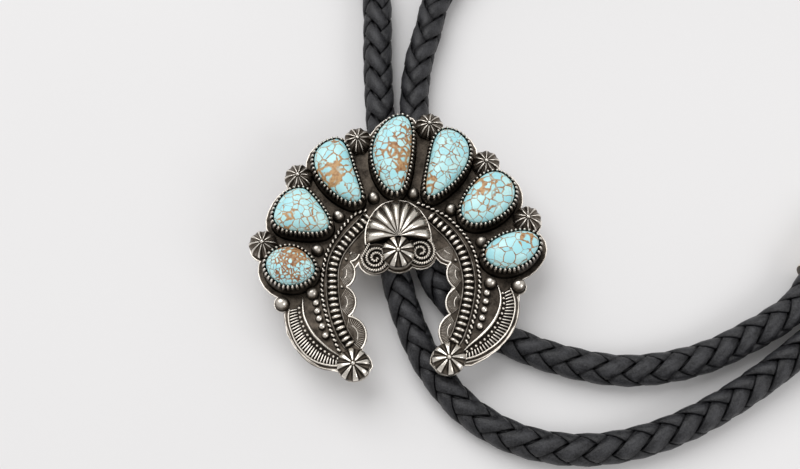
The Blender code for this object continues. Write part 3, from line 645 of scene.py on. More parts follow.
def spots_along(track, count, inset=0.0):
    """A matrix at each of so many even places on a track, X along it and Z up."""
    for k in range(count):
        point, along, side, up = track.at(inset + (track.length - 2 * inset) * k / (count - 1))
        yield Matrix.Translation(point) @ Matrix((along, -side, up)).transposed().to_4x4()


def knob(name, half, square, columns, rows, full_wear=1.0, foot=-1.0):
    """A rounded block or ball of the given half sizes, dark at its foot and worn on its crown."""
    power = 2 / square

    def shape(u, v):
        turn, rise = 2 * math.pi * u, math.pi * (v - 0.5)
        ring = abs(math.cos(rise)) ** power
        high = signed_power(math.sin(rise), power)
        point = (
            half[0] * ring * signed_power(math.cos(turn), power),
            half[1] * ring * signed_power(math.sin(turn), power),
            half[2] * high,
        )
        return point, full_wear * (high - foot) / (1 - foot)

    return formed(name, columns, rows, shape)


def row_along(v, steps):
    """How far along a row lies, and whether it is one of the two that close the ends."""
    row = v * (steps + 2)
    return clamp((row - 1) / steps), row < 0.5 or row > steps + 1.5


def band(name, track, steps, section, sides=10, sharp=None):
    """A closed bar along a track. section(turn, share) gives its offset to the side, up and its wear."""

    def shape(u, v):
        row, closed = row_along(v, steps)
        point, _, side, up = track.at(track.length * row)
        if closed:
            return point, 0.0
        across, rise, worn = section(2 * math.pi * u, row)
        return point + side * across + up * rise, worn

    return formed(name, sides, steps + 2, shape, sharp)


def oval(half_width, half_height, lift=0.0, wear=(0.0, 0.0), aside=0.0):
    """A round section for a bar. Its wear is that at mid height and what its crown adds."""

    def section(turn, share):
        high = math.sin(turn)
        return aside + half_width * math.cos(turn), lift + half_height * high, wear[0] + wear[1] * high

    return section


def listed(corners):
    """A section given as a list of its corners, each with its offset to the side, up and its wear."""
    count = len(corners)
    return lambda turn, share: corners[round(turn / (2 * math.pi) * count) % count]


def turned(name, profile, sides, sharp=None):
    """A round piece from its profile of radii, heights and wear, from the axis outwards and back."""
    last = len(profile) - 1

    def shape(u, v):
        radius, height, worn = profile[round(v * last)]
        turn = 2 * math.pi * u
        return (radius * math.cos(turn), radius * math.sin(turn), height), worn

    return formed(name, sides, last, shape, sharp)


def sheet_between(name, one, two, steps, low, high, worn):
    """A flat closed sheet that fills the space from one track to another."""
    corners = ((0.0, low), (0.0, high), (0.5, high), (1.0, high), (1.0, low), (0.5, low))

    def shape(u, v):
        row, closed = row_along(v, steps)
        near, far = one.at(one.length * row)[0], two.at(two.length * row)[0]
        if closed:
            return near.lerp(far, 0.5) + Vector((0, 0, low)), 0.0
        across, height = corners[round(u * 6) % 6]
        return near.lerp(far, across) + Vector((0, 0, height)), worn

    return formed(name, 6, steps + 2, shape, 35)


def arc_through(start, bulge, end, count):
    """The middle, the radius and evenly spaced points of the arc through three flat points."""
    a, b, c = (point.to_2d() for point in (start, bulge, end))
    d = 2 * (a.x * (b.y - c.y) + b.x * (c.y - a.y) + c.x * (a.y - b.y))
    far_a, far_b, far_c = a.length_squared, b.length_squared, c.length_squared
    x = (far_a * (b.y - c.y) + far_b * (c.y - a.y) + far_c * (a.y - b.y)) / d
    y = (far_a * (c.x - b.x) + far_b * (a.x - c.x) + far_c * (b.x - a.x)) / d
    middle = Vector((x, y))
    first = math.atan2(a.y - y, a.x - x)
    swing = math.atan2(c.y - y, c.x - x) - first
    way = 1 if (b - a).cross(c - b) > 0 else -1
    swing = way * (way * swing % (2 * math.pi))
    radius = (a - middle).length
    points = []
    for k in range(count + 1):
        angle = first + swing * k / count
        points.append(Vector((x + radius * math.cos(angle), y + radius * math.sin(angle), 0)))
    return middle.to_3d(), radius, points


def rope_core(name, track, width, steps):
    """The dark core of a twisted wire."""
    return band(name, track, steps, oval(0.42 * width, 0.42 * width), 12)


def rope_lays(track, pitch, slant, inset):
    """Where the bright lays of a twisted wire lie along its track."""
    twist = Matrix.Rotation(math.radians(slant), 4, "Z")
    return [spot @ twist for spot in spots_along(track, round(track.length / pitch), inset)]


def stone_outline(row, count, margin=0.0):
    """Points and outward directions round a stone's girdle, evenly spaced, moved out by the margin."""
    values = settings().stone
    middle = place((row["x"], row["y"]))
    turn = Matrix.Rotation(math.radians(row["turn"]), 3, "Z")
    half_length = values.full_length * row["length"] / 2
    half_width = values.full_width * row["width"] / 2
    power = 2 / row["square"]
    raw = []
    for k in range(4 * count):
        angle = 2 * math.pi * k / (4 * count)
        along = signed_power(math.cos(angle), power)
        across = signed_power(math.sin(angle), power)
        taper = row["left"] if across > 0 else row["right"]
        bowed = across * (1 + taper * along) + row["bow"] * (along**2 - 0.4)
        raw.append(middle + turn @ Vector((half_length * along, half_width * bowed, 0)))
    spaced = evenly_spaced([*raw, raw[0]], count)[:-1]
    ring = []
    for k, point in enumerate(spaced):
        run = spaced[(k + 1) % count] - spaced[k - 1]
        out = Vector((run.y, -run.x, 0)).normalized()
        ring.append((point + out * margin, out))
    return ring


def ring_piece(name, ring, profile):
    """A closed wall round a ring of points. The profile lists its offset outwards, height and wear."""
    count = len(ring)
    last = len(profile) - 1

    def shape(u, v):
        point, out = ring[round(u * count) % count]
        offset, height, worn = profile[round(v * last)]
        flat = point + out * offset
        return (flat.x, flat.y, height), worn

    return formed(name, count, last, shape)


# Node groups and materials


def node_group(name, inputs):
    """A new shader node group with its named inputs, which gives a colour, a roughness and a height."""
    tree = bpy.data.node_groups.new(name, "ShaderNodeTree")
    for label, kind, default in inputs:
        socket = tree.interface.new_socket(label, in_out="INPUT", socket_type=kind)
        if default is not None:
            socket.default_value = default
    for label, kind in (("Color", "Color"), ("Roughness", "Float"), ("Height", "Float")):
        tree.interface.new_socket(label, in_out="OUTPUT", socket_type="NodeSocket" + kind)
    return tree, tree.nodes.new("NodeGroupInput"), tree.nodes.new("NodeGroupOutput")


def feed(tree, socket, value):
    """Links another node's result to a socket, or sets a plain value on it."""
    if isinstance(value, bpy.types.NodeSocket):
        tree.links.new(value, socket)
    else:
        socket.default_value = value


def math_node(tree, operation, *values):
    """A Math node's result."""
    node = tree.nodes.new("ShaderNodeMath")
    node.operation = operation
    for socket, value in zip(node.inputs, values):
        feed(tree, socket, value)
    return node.outputs[0]


def clamp_node(tree, value):
    """The value held between 0 and 1."""
    node = tree.nodes.new("ShaderNodeClamp")
    tree.links.new(value, node.inputs[0])
    return node.outputs[0]


def varied(tree, value, texture, strength):
    """The value made a little more or less by a texture."""
    return math_node(tree, "MULTIPLY_ADD", math_node(tree, "SUBTRACT", texture, 0.5), strength, value)


def mix_colour(tree, share, first, second):
    """A Mix node's result between two colours."""
    node = tree.nodes.new("ShaderNodeMix")
    node.data_type = "RGBA"
    # The node has sockets for other kinds of value between its factor and its colours
    for number, value in ((0, share), (6, first), (7, second)):
        feed(tree, node.inputs[number], value)
    return node.outputs[2]


def eased(tree, value, low, high):
    """The value eased from 0 at low to 1 at high."""
    node = tree.nodes.new("ShaderNodeMapRange")
    node.interpolation_type = "SMOOTHSTEP"
    for socket, given in zip(node.inputs, (value, low, high)):
        feed(tree, socket, given)
    return node.outputs[0]


def noise_node(tree, vector, scale, detail=3.0, roughness=0.6):
    """A Noise node's value on the vector."""
    node = tree.nodes.new("ShaderNodeTexNoise")
    tree.links.new(vector, node.inputs["Vector"])
    node.inputs["Scale"].default_value = scale
    node.inputs["Detail"].default_value = detail
    node.inputs["Roughness"].default_value = roughness
    return node.outputs[0]


def cell_node(tree, vector, scale, feature="F1"):
    """A Voronoi node on the vector."""
    node = tree.nodes.new("ShaderNodeTexVoronoi")
    node.feature = feature
    tree.links.new(vector, node.inputs["Vector"])
    feed(tree, node.inputs["Scale"], scale)
    return node


def patina_group():
    """Silver that is black in its recesses, brown-grey on its flats and bright on its crests."""
    found = bpy.data.node_groups.get("antiqued silver")
    if found:
        return found
    tree, given, made = node_group(
        "antiqued silver",
        (
            ("Vector", "NodeSocketVector", None),
            ("Worn", "NodeSocketFloat", 0.5),
            ("Tarnish", "NodeSocketColor", (0.01, 0.01, 0.01, 1)),
            ("Dull", "NodeSocketColor", (0.15, 0.13, 0.1, 1)),
            ("Bright", "NodeSocketColor", (0.8, 0.8, 0.8, 1)),
        ),
    )
    vector = given.outputs["Vector"]
    cloud = noise_node(tree, vector, 420.0, 4.0)
    speck = noise_node(tree, vector, 3200.0, 2.0)
    broad = noise_node(tree, vector, 130.0, 2.0)
    mottled = varied(tree, given.outputs["Worn"], cloud, 0.42)
    mottled = varied(tree, mottled, speck, 0.22)
    mottled = varied(tree, mottled, broad, 0.20)
    low = eased(tree, mottled, 0.0, 0.38)
    high = eased(tree, mottled, 0.42, 0.85)
    dark_part = mix_colour(tree, low, given.outputs["Tarnish"], given.outputs["Dull"])
    colour = mix_colour(tree, high, dark_part, given.outputs["Bright"])
    rough = math_node(tree, "MULTIPLY_ADD", high, -0.20, 0.42)
    rough = math_node(tree, "MULTIPLY_ADD", speck, 0.10, rough)
    tree.links.new(colour, made.inputs["Color"])
    tree.links.new(rough, made.inputs["Roughness"])
    height = math_node(tree, "MULTIPLY_ADD", cloud, 0.6, math_node(tree, "MULTIPLY", speck, 0.4))
    tree.links.new(height, made.inputs["Height"])
    return tree


def new_material(name):
    """A material with its tree, its shader and its Object coordinates."""
    material = bpy.data.materials.new(name)
    material.use_nodes = True
    tree = material.node_tree
    return material, tree, tree.nodes["Principled BSDF"], tree.nodes.new("ShaderNodeTexCoord")


def bump(tree, shader, height, distance, strength=0.5):
    """Turns a height into the shader's normal."""
    node = tree.nodes.new("ShaderNodeBump")
    node.inputs["Strength"].default_value = strength
    node.inputs["Distance"].default_value = distance
    tree.links.new(height, node.inputs["Height"])
    tree.links.new(node.outputs["Normal"], shader.inputs["Normal"])


def silver_material(name="antiqued_silver", worn=None, stamped=False):
    """Antiqued silver. Wear comes from the piece's own attribute unless one value is given."""
    found = bpy.data.materials.get(name)
    if found:
        return found
    values = settings().silver
    material, tree, shader, coordinates = new_material(name)
    group = tree.nodes.new("ShaderNodeGroup")
    group.node_tree = patina_group()
    group.inputs["Tarnish"].default_value = (*values.tarnish, 1)
    group.inputs["Dull"].default_value = (*values.dull, 1)
    group.inputs["Bright"].default_value = (*values.bright, 1)
    tree.links.new(coordinates.outputs["Object"], group.inputs["Vector"])
    height = group.outputs["Height"]
    if worn is None:
        attribute = tree.nodes.new("ShaderNodeAttribute")
        attribute.attribute_name = "worn"
        wear = attribute.outputs["Fac"]
        if stamped:
            split = tree.nodes.new("ShaderNodeSeparateXYZ")
            tree.links.new(coordinates.outputs["UV"], split.inputs[0])
            ray = math_node(tree, "SINE", math_node(tree, "MULTIPLY", split.outputs[1], 2 * math.pi * 21))
            wear = math_node(tree, "MULTIPLY_ADD", ray, 0.42, wear)
            height = math_node(tree, "MULTIPLY_ADD", ray, 0.5, height)
        tree.links.new(wear, group.inputs["Worn"])
    else:
        group.inputs["Worn"].default_value = worn
    shader.inputs["Metallic"].default_value = 1.0
    tree.links.new(group.outputs["Color"], shader.inputs["Base Color"])
    tree.links.new(group.outputs["Roughness"], shader.inputs["Roughness"])
    bump(tree, shader, height, 0.06 * MM, 0.5)
    return material


def web_group():
    """Turquoise cells in a web of matrix, with open patches of it."""
    found = bpy.data.node_groups.get("turquoise web")
    if found:
        return found
    tree, given, made = node_group(
        "turquoise web",
        (
            ("Vector", "NodeSocketVector", None),
            ("Cells", "NodeSocketFloat", 500.0),
            ("Web", "NodeSocketFloat", 0.08),
            ("Patches", "NodeSocketFloat", 0.0),
            ("Place", "NodeSocketVector", None),
            ("Matrix Middle", "NodeSocketVector", None),
            ("Matrix Reach", "NodeSocketFloat", 0.004),
            ("Darkness", "NodeSocketFloat", 0.3),
            ("Sky", "NodeSocketColor", (0.3, 0.7, 0.8, 1)),
            ("Pale", "NodeSocketColor", (0.5, 0.8, 0.8, 1)),
            ("Tan", "NodeSocketColor", (0.5, 0.3, 0.1, 1)),
            ("Rust", "NodeSocketColor", (0.2, 0.08, 0.02, 1)),
        ),
    )
    vector = given.outputs["Vector"]
    wander = tree.nodes.new("ShaderNodeTexNoise")
    wander.inputs["Scale"].default_value = 520.0
    wander.inputs["Detail"].default_value = 3.0
    tree.links.new(vector, wander.inputs["Vector"])
    shift = tree.nodes.new("ShaderNodeVectorMath")
    shift.operation = "MULTIPLY_ADD"
    tree.links.new(wander.outputs["Color"], shift.inputs[0])
    shift.inputs[1].default_value = (1.1 * MM, 1.1 * MM, 1.1 * MM)
    tree.links.new(vector, shift.inputs[2])
    warped = shift.outputs[0]
    cells = given.outputs["Cells"]
    edge = cell_node(tree, warped, cells, "DISTANCE_TO_EDGE")
    fill = cell_node(tree, warped, cells)
    broad = noise_node(tree, vector, 210.0, 3.0)
    fine = noise_node(tree, vector, 1500.0, 4.0)
    patchy = noise_node(tree, vector, 330.0, 3.0, 0.65)
    away = tree.nodes.new("ShaderNodeVectorMath")
    away.operation = "DISTANCE"
    tree.links.new(given.outputs["Place"], away.inputs[0])
    tree.links.new(given.outputs["Matrix Middle"], away.inputs[1])
    near = math_node(tree, "DIVIDE", away.outputs["Value"], given.outputs["Matrix Reach"])
    near = math_node(tree, "MULTIPLY_ADD", near, -0.38, 0.38)
    spread = math_node(tree, "ADD", math_node(tree, "ADD", patchy, near), given.outputs["Patches"])
    patch = eased(tree, spread, 0.54, 0.80)
    swell = math_node(tree, "MULTIPLY_ADD", broad, 2.6, -0.55)
    width = math_node(tree, "MULTIPLY", given.outputs["Web"], swell)
    width = math_node(tree, "MULTIPLY_ADD", patch, 0.26, math_node(tree, "MAXIMUM", width, 0.02))
    inside = eased(tree, edge.outputs["Distance"], math_node(tree, "MULTIPLY", width, 0.35), width)
    web = math_node(tree, "SUBTRACT", 1.0, inside)
    broken = noise_node(tree, vector, 620.0, 2.0)
    strength = clamp_node(tree, math_node(tree, "MULTIPLY_ADD", broken, 2.6, -0.40))
    web = math_node(tree, "MULTIPLY", web, clamp_node(tree, math_node(tree, "ADD", strength, patch)))
    hair = cell_node(tree, warped, math_node(tree, "MULTIPLY", cells, 2.3), "DISTANCE_TO_EDGE")
    crack = math_node(tree, "SUBTRACT", 1.0, eased(tree, hair.outputs["Distance"], 0.0, 0.07))
    crack = math_node(tree, "MULTIPLY", crack, eased(tree, broad, 0.45, 0.62))
    web = math_node(tree, "MAXIMUM", web, math_node(tree, "MULTIPLY", crack, 0.30))
    split = tree.nodes.new("ShaderNodeSeparateColor")
    tree.links.new(fill.outputs["Color"], split.inputs[0])
    tone = math_node(tree, "MULTIPLY_ADD", split.outputs[0], 0.7, math_node(tree, "MULTIPLY", broad, 0.5))
    blue = mix_colour(tree, clamp_node(tree, tone), given.outputs["Sky"], given.outputs["Pale"])
    depth = math_node(tree, "MULTIPLY_ADD", fine, 2.6, -1.05)
    depth = math_node(tree, "ADD", depth, math_node(tree, "ADD", given.outputs["Darkness"], 0.05))
    depth = math_node(tree, "MULTIPLY_ADD", patch, -0.35, depth)
    brown = mix_colour(tree, clamp_node(tree, depth), given.outputs["Tan"], given.outputs["Rust"])
    colour = mix_colour(tree, web, blue, brown)
    tree.links.new(colour, made.inputs["Color"])
    tree.links.new(math_node(tree, "MULTIPLY_ADD", web, 0.22, 0.24), made.inputs["Roughness"])
    tree.links.new(math_node(tree, "SUBTRACT", 1.0, web), made.inputs["Height"])
    return tree


def stone_material(row, web):
    """Turquoise with this stone's own web."""
    values = settings().stone
    material, tree, shader, coordinates = new_material(row["node"].replace("stone", "turquoise"))
    group = tree.nodes.new("ShaderNodeGroup")
    group.node_tree = web_group()
    for label, column in (("Cells", "cells"), ("Web", "web"), ("Patches", "patches"), ("Darkness", "rust"),
                          ("Matrix Reach", "reach")):
        group.inputs[label].default_value = web[column]
    for label in ("Sky", "Pale", "Tan", "Rust"):
        group.inputs[label].default_value = (*getattr(values, label.lower()), 1)
    offset = tree.nodes.new("ShaderNodeMapping")
    offset.inputs["Location"].default_value = [web["seed"] * MM * way for way in (7, 11, 5)]
    tree.links.new(coordinates.outputs["Object"], offset.inputs["Vector"])
    tree.links.new(offset.outputs["Vector"], group.inputs["Vector"])
    tree.links.new(coordinates.outputs["Object"], group.inputs["Place"])
    middle = place((web["x"], web["y"]))
    group.inputs["Matrix Middle"].default_value = (middle.x, middle.y, plate_top() + 5 * MM)
    tree.links.new(group.outputs["Color"], shader.inputs["Base Color"])
    tree.links.new(group.outputs["Roughness"], shader.inputs["Roughness"])
    shader.inputs["Specular IOR Level"].default_value = 0.35
    bump(tree, shader, group.outputs["Height"], 0.03 * MM, 0.35)
    return material


def leather_material():
    """Black leather with a fine grain, rubbed grey on its crowns, with painted shade where the strips dive under one
    another and along their edges.
    """
    found = bpy.data.materials.get("braided_leather")
    if found:
        return found
    values = settings().cord
    material, tree, shader, coordinates = new_material("braided_leather")
    vector = coordinates.outputs["Object"]
    attribute = tree.nodes.new("ShaderNodeAttribute")
    attribute.attribute_name = "worn"
    cloud = noise_node(tree, vector, 420.0, 5.0, 0.7)
    grain = cell_node(tree, vector, 2600.0)
    # The worn attribute carries both the rubbing of the crowns and painted shade in the dives and at the strips'
    # edges.
    rubbed = varied(tree, attribute.outputs["Fac"], cloud, 1.4)
    fibre = noise_node(tree, vector, 2400.0, 3.0, 0.7)
    rubbed = varied(tree, rubbed, fibre, 1.6)
    share = eased(tree, rubbed, 0.25, 1.35)
    colour = mix_colour(tree, share, (*values.leather, 1), (*values.worn_leather, 1))
    tree.links.new(colour, shader.inputs["Base Color"])
    tree.links.new(math_node(tree, "MULTIPLY_ADD", cloud, 0.30, 0.30), shader.inputs["Roughness"])
    shader.inputs["Specular IOR Level"].default_value = 0.32
    height = math_node(tree, "MULTIPLY_ADD", fibre, 1.6, grain.outputs["Distance"])
    bump(tree, shader, height, 0.10 * MM, 0.6)
    return material


# Operators, one for each piece or group of like pieces


class BOLOTIE_OT_stage(bpy.types.Operator):
    """Add the floor, the lights and the camera"""

    bl_idname = "bolotie.stage"
    bl_label = "Stage"

    def execute(self, context):
        values = settings().stage
        bpy.ops.object.select_all(action="DESELECT")
        bpy.ops.mesh.primitive_plane_add(size=6, location=(0, 0, 0))
        floor = context.object
        floor.name = "floor"
        material, tree, shader, coordinates = new_material("pale_floor")
        shade = noise_node(tree, coordinates.outputs["Object"], 9.0, 2.0)
        colour = mix_colour(tree, shade, (*values.floor, 1), tuple(0.97 * c for c in values.floor) + (1,))
        tree.links.new(colour, shader.inputs["Base Color"])
        shader.inputs["Roughness"].default_value = 0.7
        floor.data.materials.append(material)
        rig.stage(floor)
        tilt, turn = values.elevation, values.azimuth
        back = Vector((math.sin(turn) * math.cos(tilt), -math.cos(turn) * math.cos(tilt), math.sin(tilt)))
        target = Vector((0.0003, -0.0040, 0.0080))
        bpy.ops.object.camera_add(location=target + back * values.distance)
        camera = context.object
        camera.rotation_mode = "QUATERNION"
        camera.rotation_quaternion = back.to_track_quat("Z", "Y")
        camera.data.lens = 50
        camera.data.sensor_width = 36
        camera.data.clip_start = 0.01
        context.scene.camera = camera
        for name, spot, size, power in (
            ("key_light", (-0.48, 0.78, 1.25), 1.5, values.key_power),
            ("fill_light", (0.45, -0.30, 0.40), 0.30, values.fill_power),
        ):
            bpy.ops.object.light_add(type="AREA", location=spot)
            lamp = context.object
            lamp.name = name
            lamp.data.shape = "DISK"
            lamp.data.size = size
            lamp.data.energy = power
            lamp.rotation_mode = "QUATERNION"
            lamp.rotation_quaternion = Vector(spot).to_track_quat("Z", "Y")
        world = bpy.data.worlds.new("studio")
        world.use_nodes = True
        surroundings = world.node_tree.nodes["Background"]
        surroundings.inputs["Color"].default_value = (1.0, 0.99, 0.98, 1)
        surroundings.inputs["Strength"].default_value = values.sky_strength
        context.scene.world = world
        context.scene.view_settings.view_transform = "Standard"
        return {"FINISHED"}


def braided_strip(name, track, number, way):
    """One flat strip of the round braid: over two strips that go the other way, then under two."""
    values = settings().cord
    high = (values.diameter - values.strip_thickness) / 2
    drop = values.strip_thickness * 1.02
    half_thick = values.strip_thickness / 2
    pace = 8 / values.lead
    rows = strip_rows(number, way, pace * track.length)
    last = len(rows) - 1

    def shape(u, v):
        row = round(v * (last + 2)) - 1
        closed = row < 0 or row > last
        other, cover = rows[min(max(row, 0), last)]
        turn = 2 * math.pi * u
        across = 0.0 if closed else 0.5 * values.fill * signed_power(math.cos(turn), 0.35)
        thick = 0.0 if closed else half_thick * signed_power(math.sin(turn), 0.6)
        mine = number + across
        distance = clamp((other - mine) * way / pace, 0.0, track.length)
        other = mine + way * distance * pace
        angle = (mine + other) * math.pi / 4 + SPINE_START + 2 * math.pi * values.turns * distance
        edge = abs(2 * across / values.fill) ** 6
        reach = high - drop * (1 - cover) + thick - 0.14 * MM * edge
        point, _, side, up = track.at(distance)
        # The worn value is partly painted shade: it drops where the strip dives under the others and along its edges,
        # and rises on the rubbed crowns.
        return point + (up * math.cos(angle) + side * math.sin(angle)) * reach, cover * (1 - 0.85 * edge)

    return formed(name, 8, last + 2, shape)


def strip_rows(number, way, total):
    """A strip's rows: where each lies among the strips that go the other way, and its height."""
    middle = (0.5 if way > 0 else 2.5) - number
    while way * (middle - number) > -3:
        middle -= 4 * way
    over = True
    rows = []
    while way * (middle - number) < total + 3:
        for offset in BRAID_ROWS:
            other = middle + way * offset
            if -1.2 < way * (other - number) < total + 1.2:
                rise = 0.5 + 0.5 * (1 - abs(offset)) ** 0.24
                rows.append((other, rise if over else 1 - rise))
        middle += 2 * way
        over = not over
    return rows


def cord_piece(name, route):
    """The braided cord along a route, and the points that it follows."""
    values = settings().cord
    track = Track(smooth_line(route, 0.5 * MM))
    parts = []
    for number in range(4):
        for way in (1, -1):
            parts.append(braided_strip(name, track, number, way))
    core = values.diameter / 2 - 1.9 * values.strip_thickness
    parts.append(band(name, track, round(track.length / (2 * MM)), oval(core, core)))
    return joined(name, parts), smooth_line(route, 4 * MM)


def tip_piece(name, route):
    """A turned silver tip that goes on from the end of a cord's route."""
    end = Vector(route[-1])
    along = (end - Vector(route[-2])).normalized()
    side = along.cross(Vector((0, 0, 1))).normalized()
    up = side.cross(along)
    last = len(TIP_ROWS) - 1

    def shape(u, v):
        radius, run, worn = TIP_ROWS[round(v * last)]
        turn = 2 * math.pi * u
        out = (side * math.cos(turn) + up * math.sin(turn)) * radius * MM
        return end + along * (GAP + run * MM) + out, worn

    return formed(name, 56, last, shape, 50)


class BOLOTIE_OT_cords(bpy.types.Operator):
    """Add the braided neck loop, the two free ends and their turned silver tips"""

    bl_idname = "bolotie.cords"
    bl_label = "Braided Cords"

    def execute(self, context):
        diameter = settings().cord.diameter
        for name, node, route, tip in (
            ("neck_loop_braid", "neck_loop", NECK_LOOP, None),
            ("long_end_braid", "cord_end_long", LONG_END, "tip_long"),
            ("short_end_braid", "cord_end_short", SHORT_END, "tip_short"),
        ):
            piece, path = cord_piece(name, route)
            finished(piece, leather_material(), "black_leather", node)
            tips = []
            if tip:
                tips = [finished(tip_piece(tip + "_turned", route), silver_material(), "silver", tip)]
            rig.cord(
                piece, exit=route[0], length=line_length(path), diameter=diameter,
                far_end="fitting" if tip else "object", stiffness="medium", lay="loose", path=path,
                with_pieces=tips,
            )
        return {"FINISHED"}


class BOLOTIE_OT_plate(bpy.types.Operator):
    """Cut the slide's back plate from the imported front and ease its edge"""

    bl_idname = "bolotie.plate"
    bl_label = "Back Plate"

    def execute(self, context):
        values = settings().silver
        front = frame["nodes"]["naja"]
        plate = front.copy()
        plate.data = front.data.copy()
        plate.name = "back_plate"
        context.collection.objects.link(plate)
        select_only(plate)
        bpy.ops.object.mode_set(mode="EDIT")
        bpy.ops.mesh.select_all(action="SELECT")
        bpy.ops.mesh.remove_doubles(threshold=SEAM)
        bpy.ops.object.mode_set(mode="OBJECT")
        edit_faces(plate, lambda face: face.normal.z > -0.99 or face.center.z > PLATE_BOTTOM + 0.1 * MM)
        bpy.ops.mesh.delete(type="FACE")
        bpy.ops.mesh.select_all(action="SELECT")
        bpy.ops.mesh.fill_holes(sides=70)
        bpy.ops.mesh.select_all(action="SELECT")
        bpy.ops.mesh.extrude_region_move(
            TRANSFORM_OT_translate={"value": (0, 0, values.plate_thickness), "orient_type": "GLOBAL"}
        )
        bpy.ops.mesh.select_all(action="SELECT")
        bpy.ops.mesh.dissolve_limited(angle_limit=math.radians(3))
        bpy.ops.mesh.normals_make_consistent(inside=False)
        bpy.ops.object.mode_set(mode="OBJECT")
        mesh = plate.data
        for share in TIP_BUTTONS:
            tip = place(share)
            low = tip.y - 1.2 * MM
            bpy.ops.object.mode_set(mode="EDIT")
            bpy.ops.mesh.select_mode(type="VERT")
            bpy.ops.mesh.select_all(action="DESELECT")
            bpy.ops.object.mode_set(mode="OBJECT")
            for vertex in mesh.vertices:
                vertex.select = vertex.co.y < low and abs(vertex.co.x - tip.x) < 5 * MM
            bpy.ops.object.mode_set(mode="EDIT")
            bpy.ops.transform.resize(
                value=(0.86, 0.72, 1), center_override=(tip.x, low, PLATE_BOTTOM), orient_type="GLOBAL"
            )
            bpy.ops.object.mode_set(mode="OBJECT")
        mesh.attributes.new("worn", "FLOAT", "POINT")
        edit_faces(plate, lambda face: face.normal.z > 0.9)
        bpy.ops.mesh.inset(thickness=0.12 * MM, depth=0.0)
        bpy.ops.mesh.inset(thickness=0.22 * MM, depth=-0.05 * MM)
        bpy.ops.object.mode_set(mode="OBJECT")
        inner = set()
        for face in mesh.polygons:
            if face.select:
                inner.update(face.vertices)
        wear = [0.15 if k in inner else 0.72 for k in range(len(mesh.vertices))]
        mesh.attributes["worn"].data.foreach_set("value", wear)
        bpy.ops.object.shade_smooth_by_angle(angle=math.radians(40))
        on_slide(plate)
        return {"FINISHED"}


class BOLOTIE_OT_bezels(bpy.types.Operator):
    """Add the bezel walls and their teeth"""

    bl_idname = "bolotie.bezels"
    bl_label = "Toothed Bezels"

    def execute(self, context):
        values = settings().silver
        base = plate_top()
        top = base + values.bezel_height
        inner, outer = GAP, GAP + values.bezel_wall
        lean = Matrix.Rotation(math.radians(-15), 4, "Y")
        walls, spots = [], []
        for row in STONES:
            walls.append(ring_piece("bezel_walls", stone_outline(row, OUTLINE), (
                (inner, base - SUNK, 0.0),
                (inner, top - 0.9 * MM, 0.0),
                (inner + 0.15 * MM, top - 0.6 * MM, 0.0),
                (outer - 0.25 * MM, top - 0.7 * MM, 0.0),
                (outer - 0.15 * MM, top - 1.6 * MM, 0.0),
                (outer, top - 2.4 * MM, 0.16),
                (outer, base + 1.3 * MM, 0.30),
                (outer + 0.04 * MM, base + 0.7 * MM, 0.26),
                (outer + 0.10 * MM, base + 0.25 * MM, 0.08),
                (outer + 0.5 * MM, base - SUNK, 0.0),
                (inner, base - SUNK, 0.0),
            )))
            around = [point for point, out in stone_outline(row, OUTLINE, outer)]
            length = line_length([*around, around[0]])
            for point, out in stone_outline(row, round(length / values.tooth_pitch), inner + 0.42 * MM):
                turn = Matrix.Rotation(math.atan2(out.y, out.x), 4, "Z")
                spots.append(Matrix.Translation((point.x, point.y, top - 0.85 * MM)) @ turn @ lean)
        on_slide(joined("bezel_walls", walls))
        tooth = knob("bezel_teeth", (0.36 * MM, 0.35 * MM, 1.30 * MM), 2.6, 10, 8, 0.95, -0.80)
        on_slide(copied("bezel_teeth", tooth, spots))
        return {"FINISHED"}


class BOLOTIE_OT_stones(bpy.types.Operator):
    """Add the seven turquoise cabochons"""

    bl_idname = "bolotie.stones"
    bl_label = "Turquoise Stones"

    def execute(self, context):
        values = settings().stone
        dome_steps = 14
        for row, web in zip(STONES, WEBS):
            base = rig.box(row["node"])[0][2]
            side = base + values.girdle
            ring = stone_outline(row, OUTLINE)
            middle = sum((point for point, out in ring), Vector()) / len(ring)
            profile = [(0.0, base), (1.0, base), (1.0, side - 0.4 * MM)]
            for k in range(dome_steps + 1):
                angle = math.pi / 2 * k / dome_steps
                climb = (values.dome + 0.2 * MM) * math.sin(angle)
                profile.append((math.cos(angle) ** 0.85, side - 0.2 * MM + climb))
            last = len(profile) - 1

            def shape(u, v, ring=ring, middle=middle, profile=profile, last=last):
                point = ring[round(u * OUTLINE) % OUTLINE][0]
                share, height = profile[round(v * last)]
                flat = middle.lerp(point, share)
                return (flat.x, flat.y, height), 1.0

            piece = formed(row["node"] + "_cabochon", OUTLINE, last, shape)
            finished(piece, stone_material(row, web), "turquoise", row["node"])
        return {"FINISHED"}


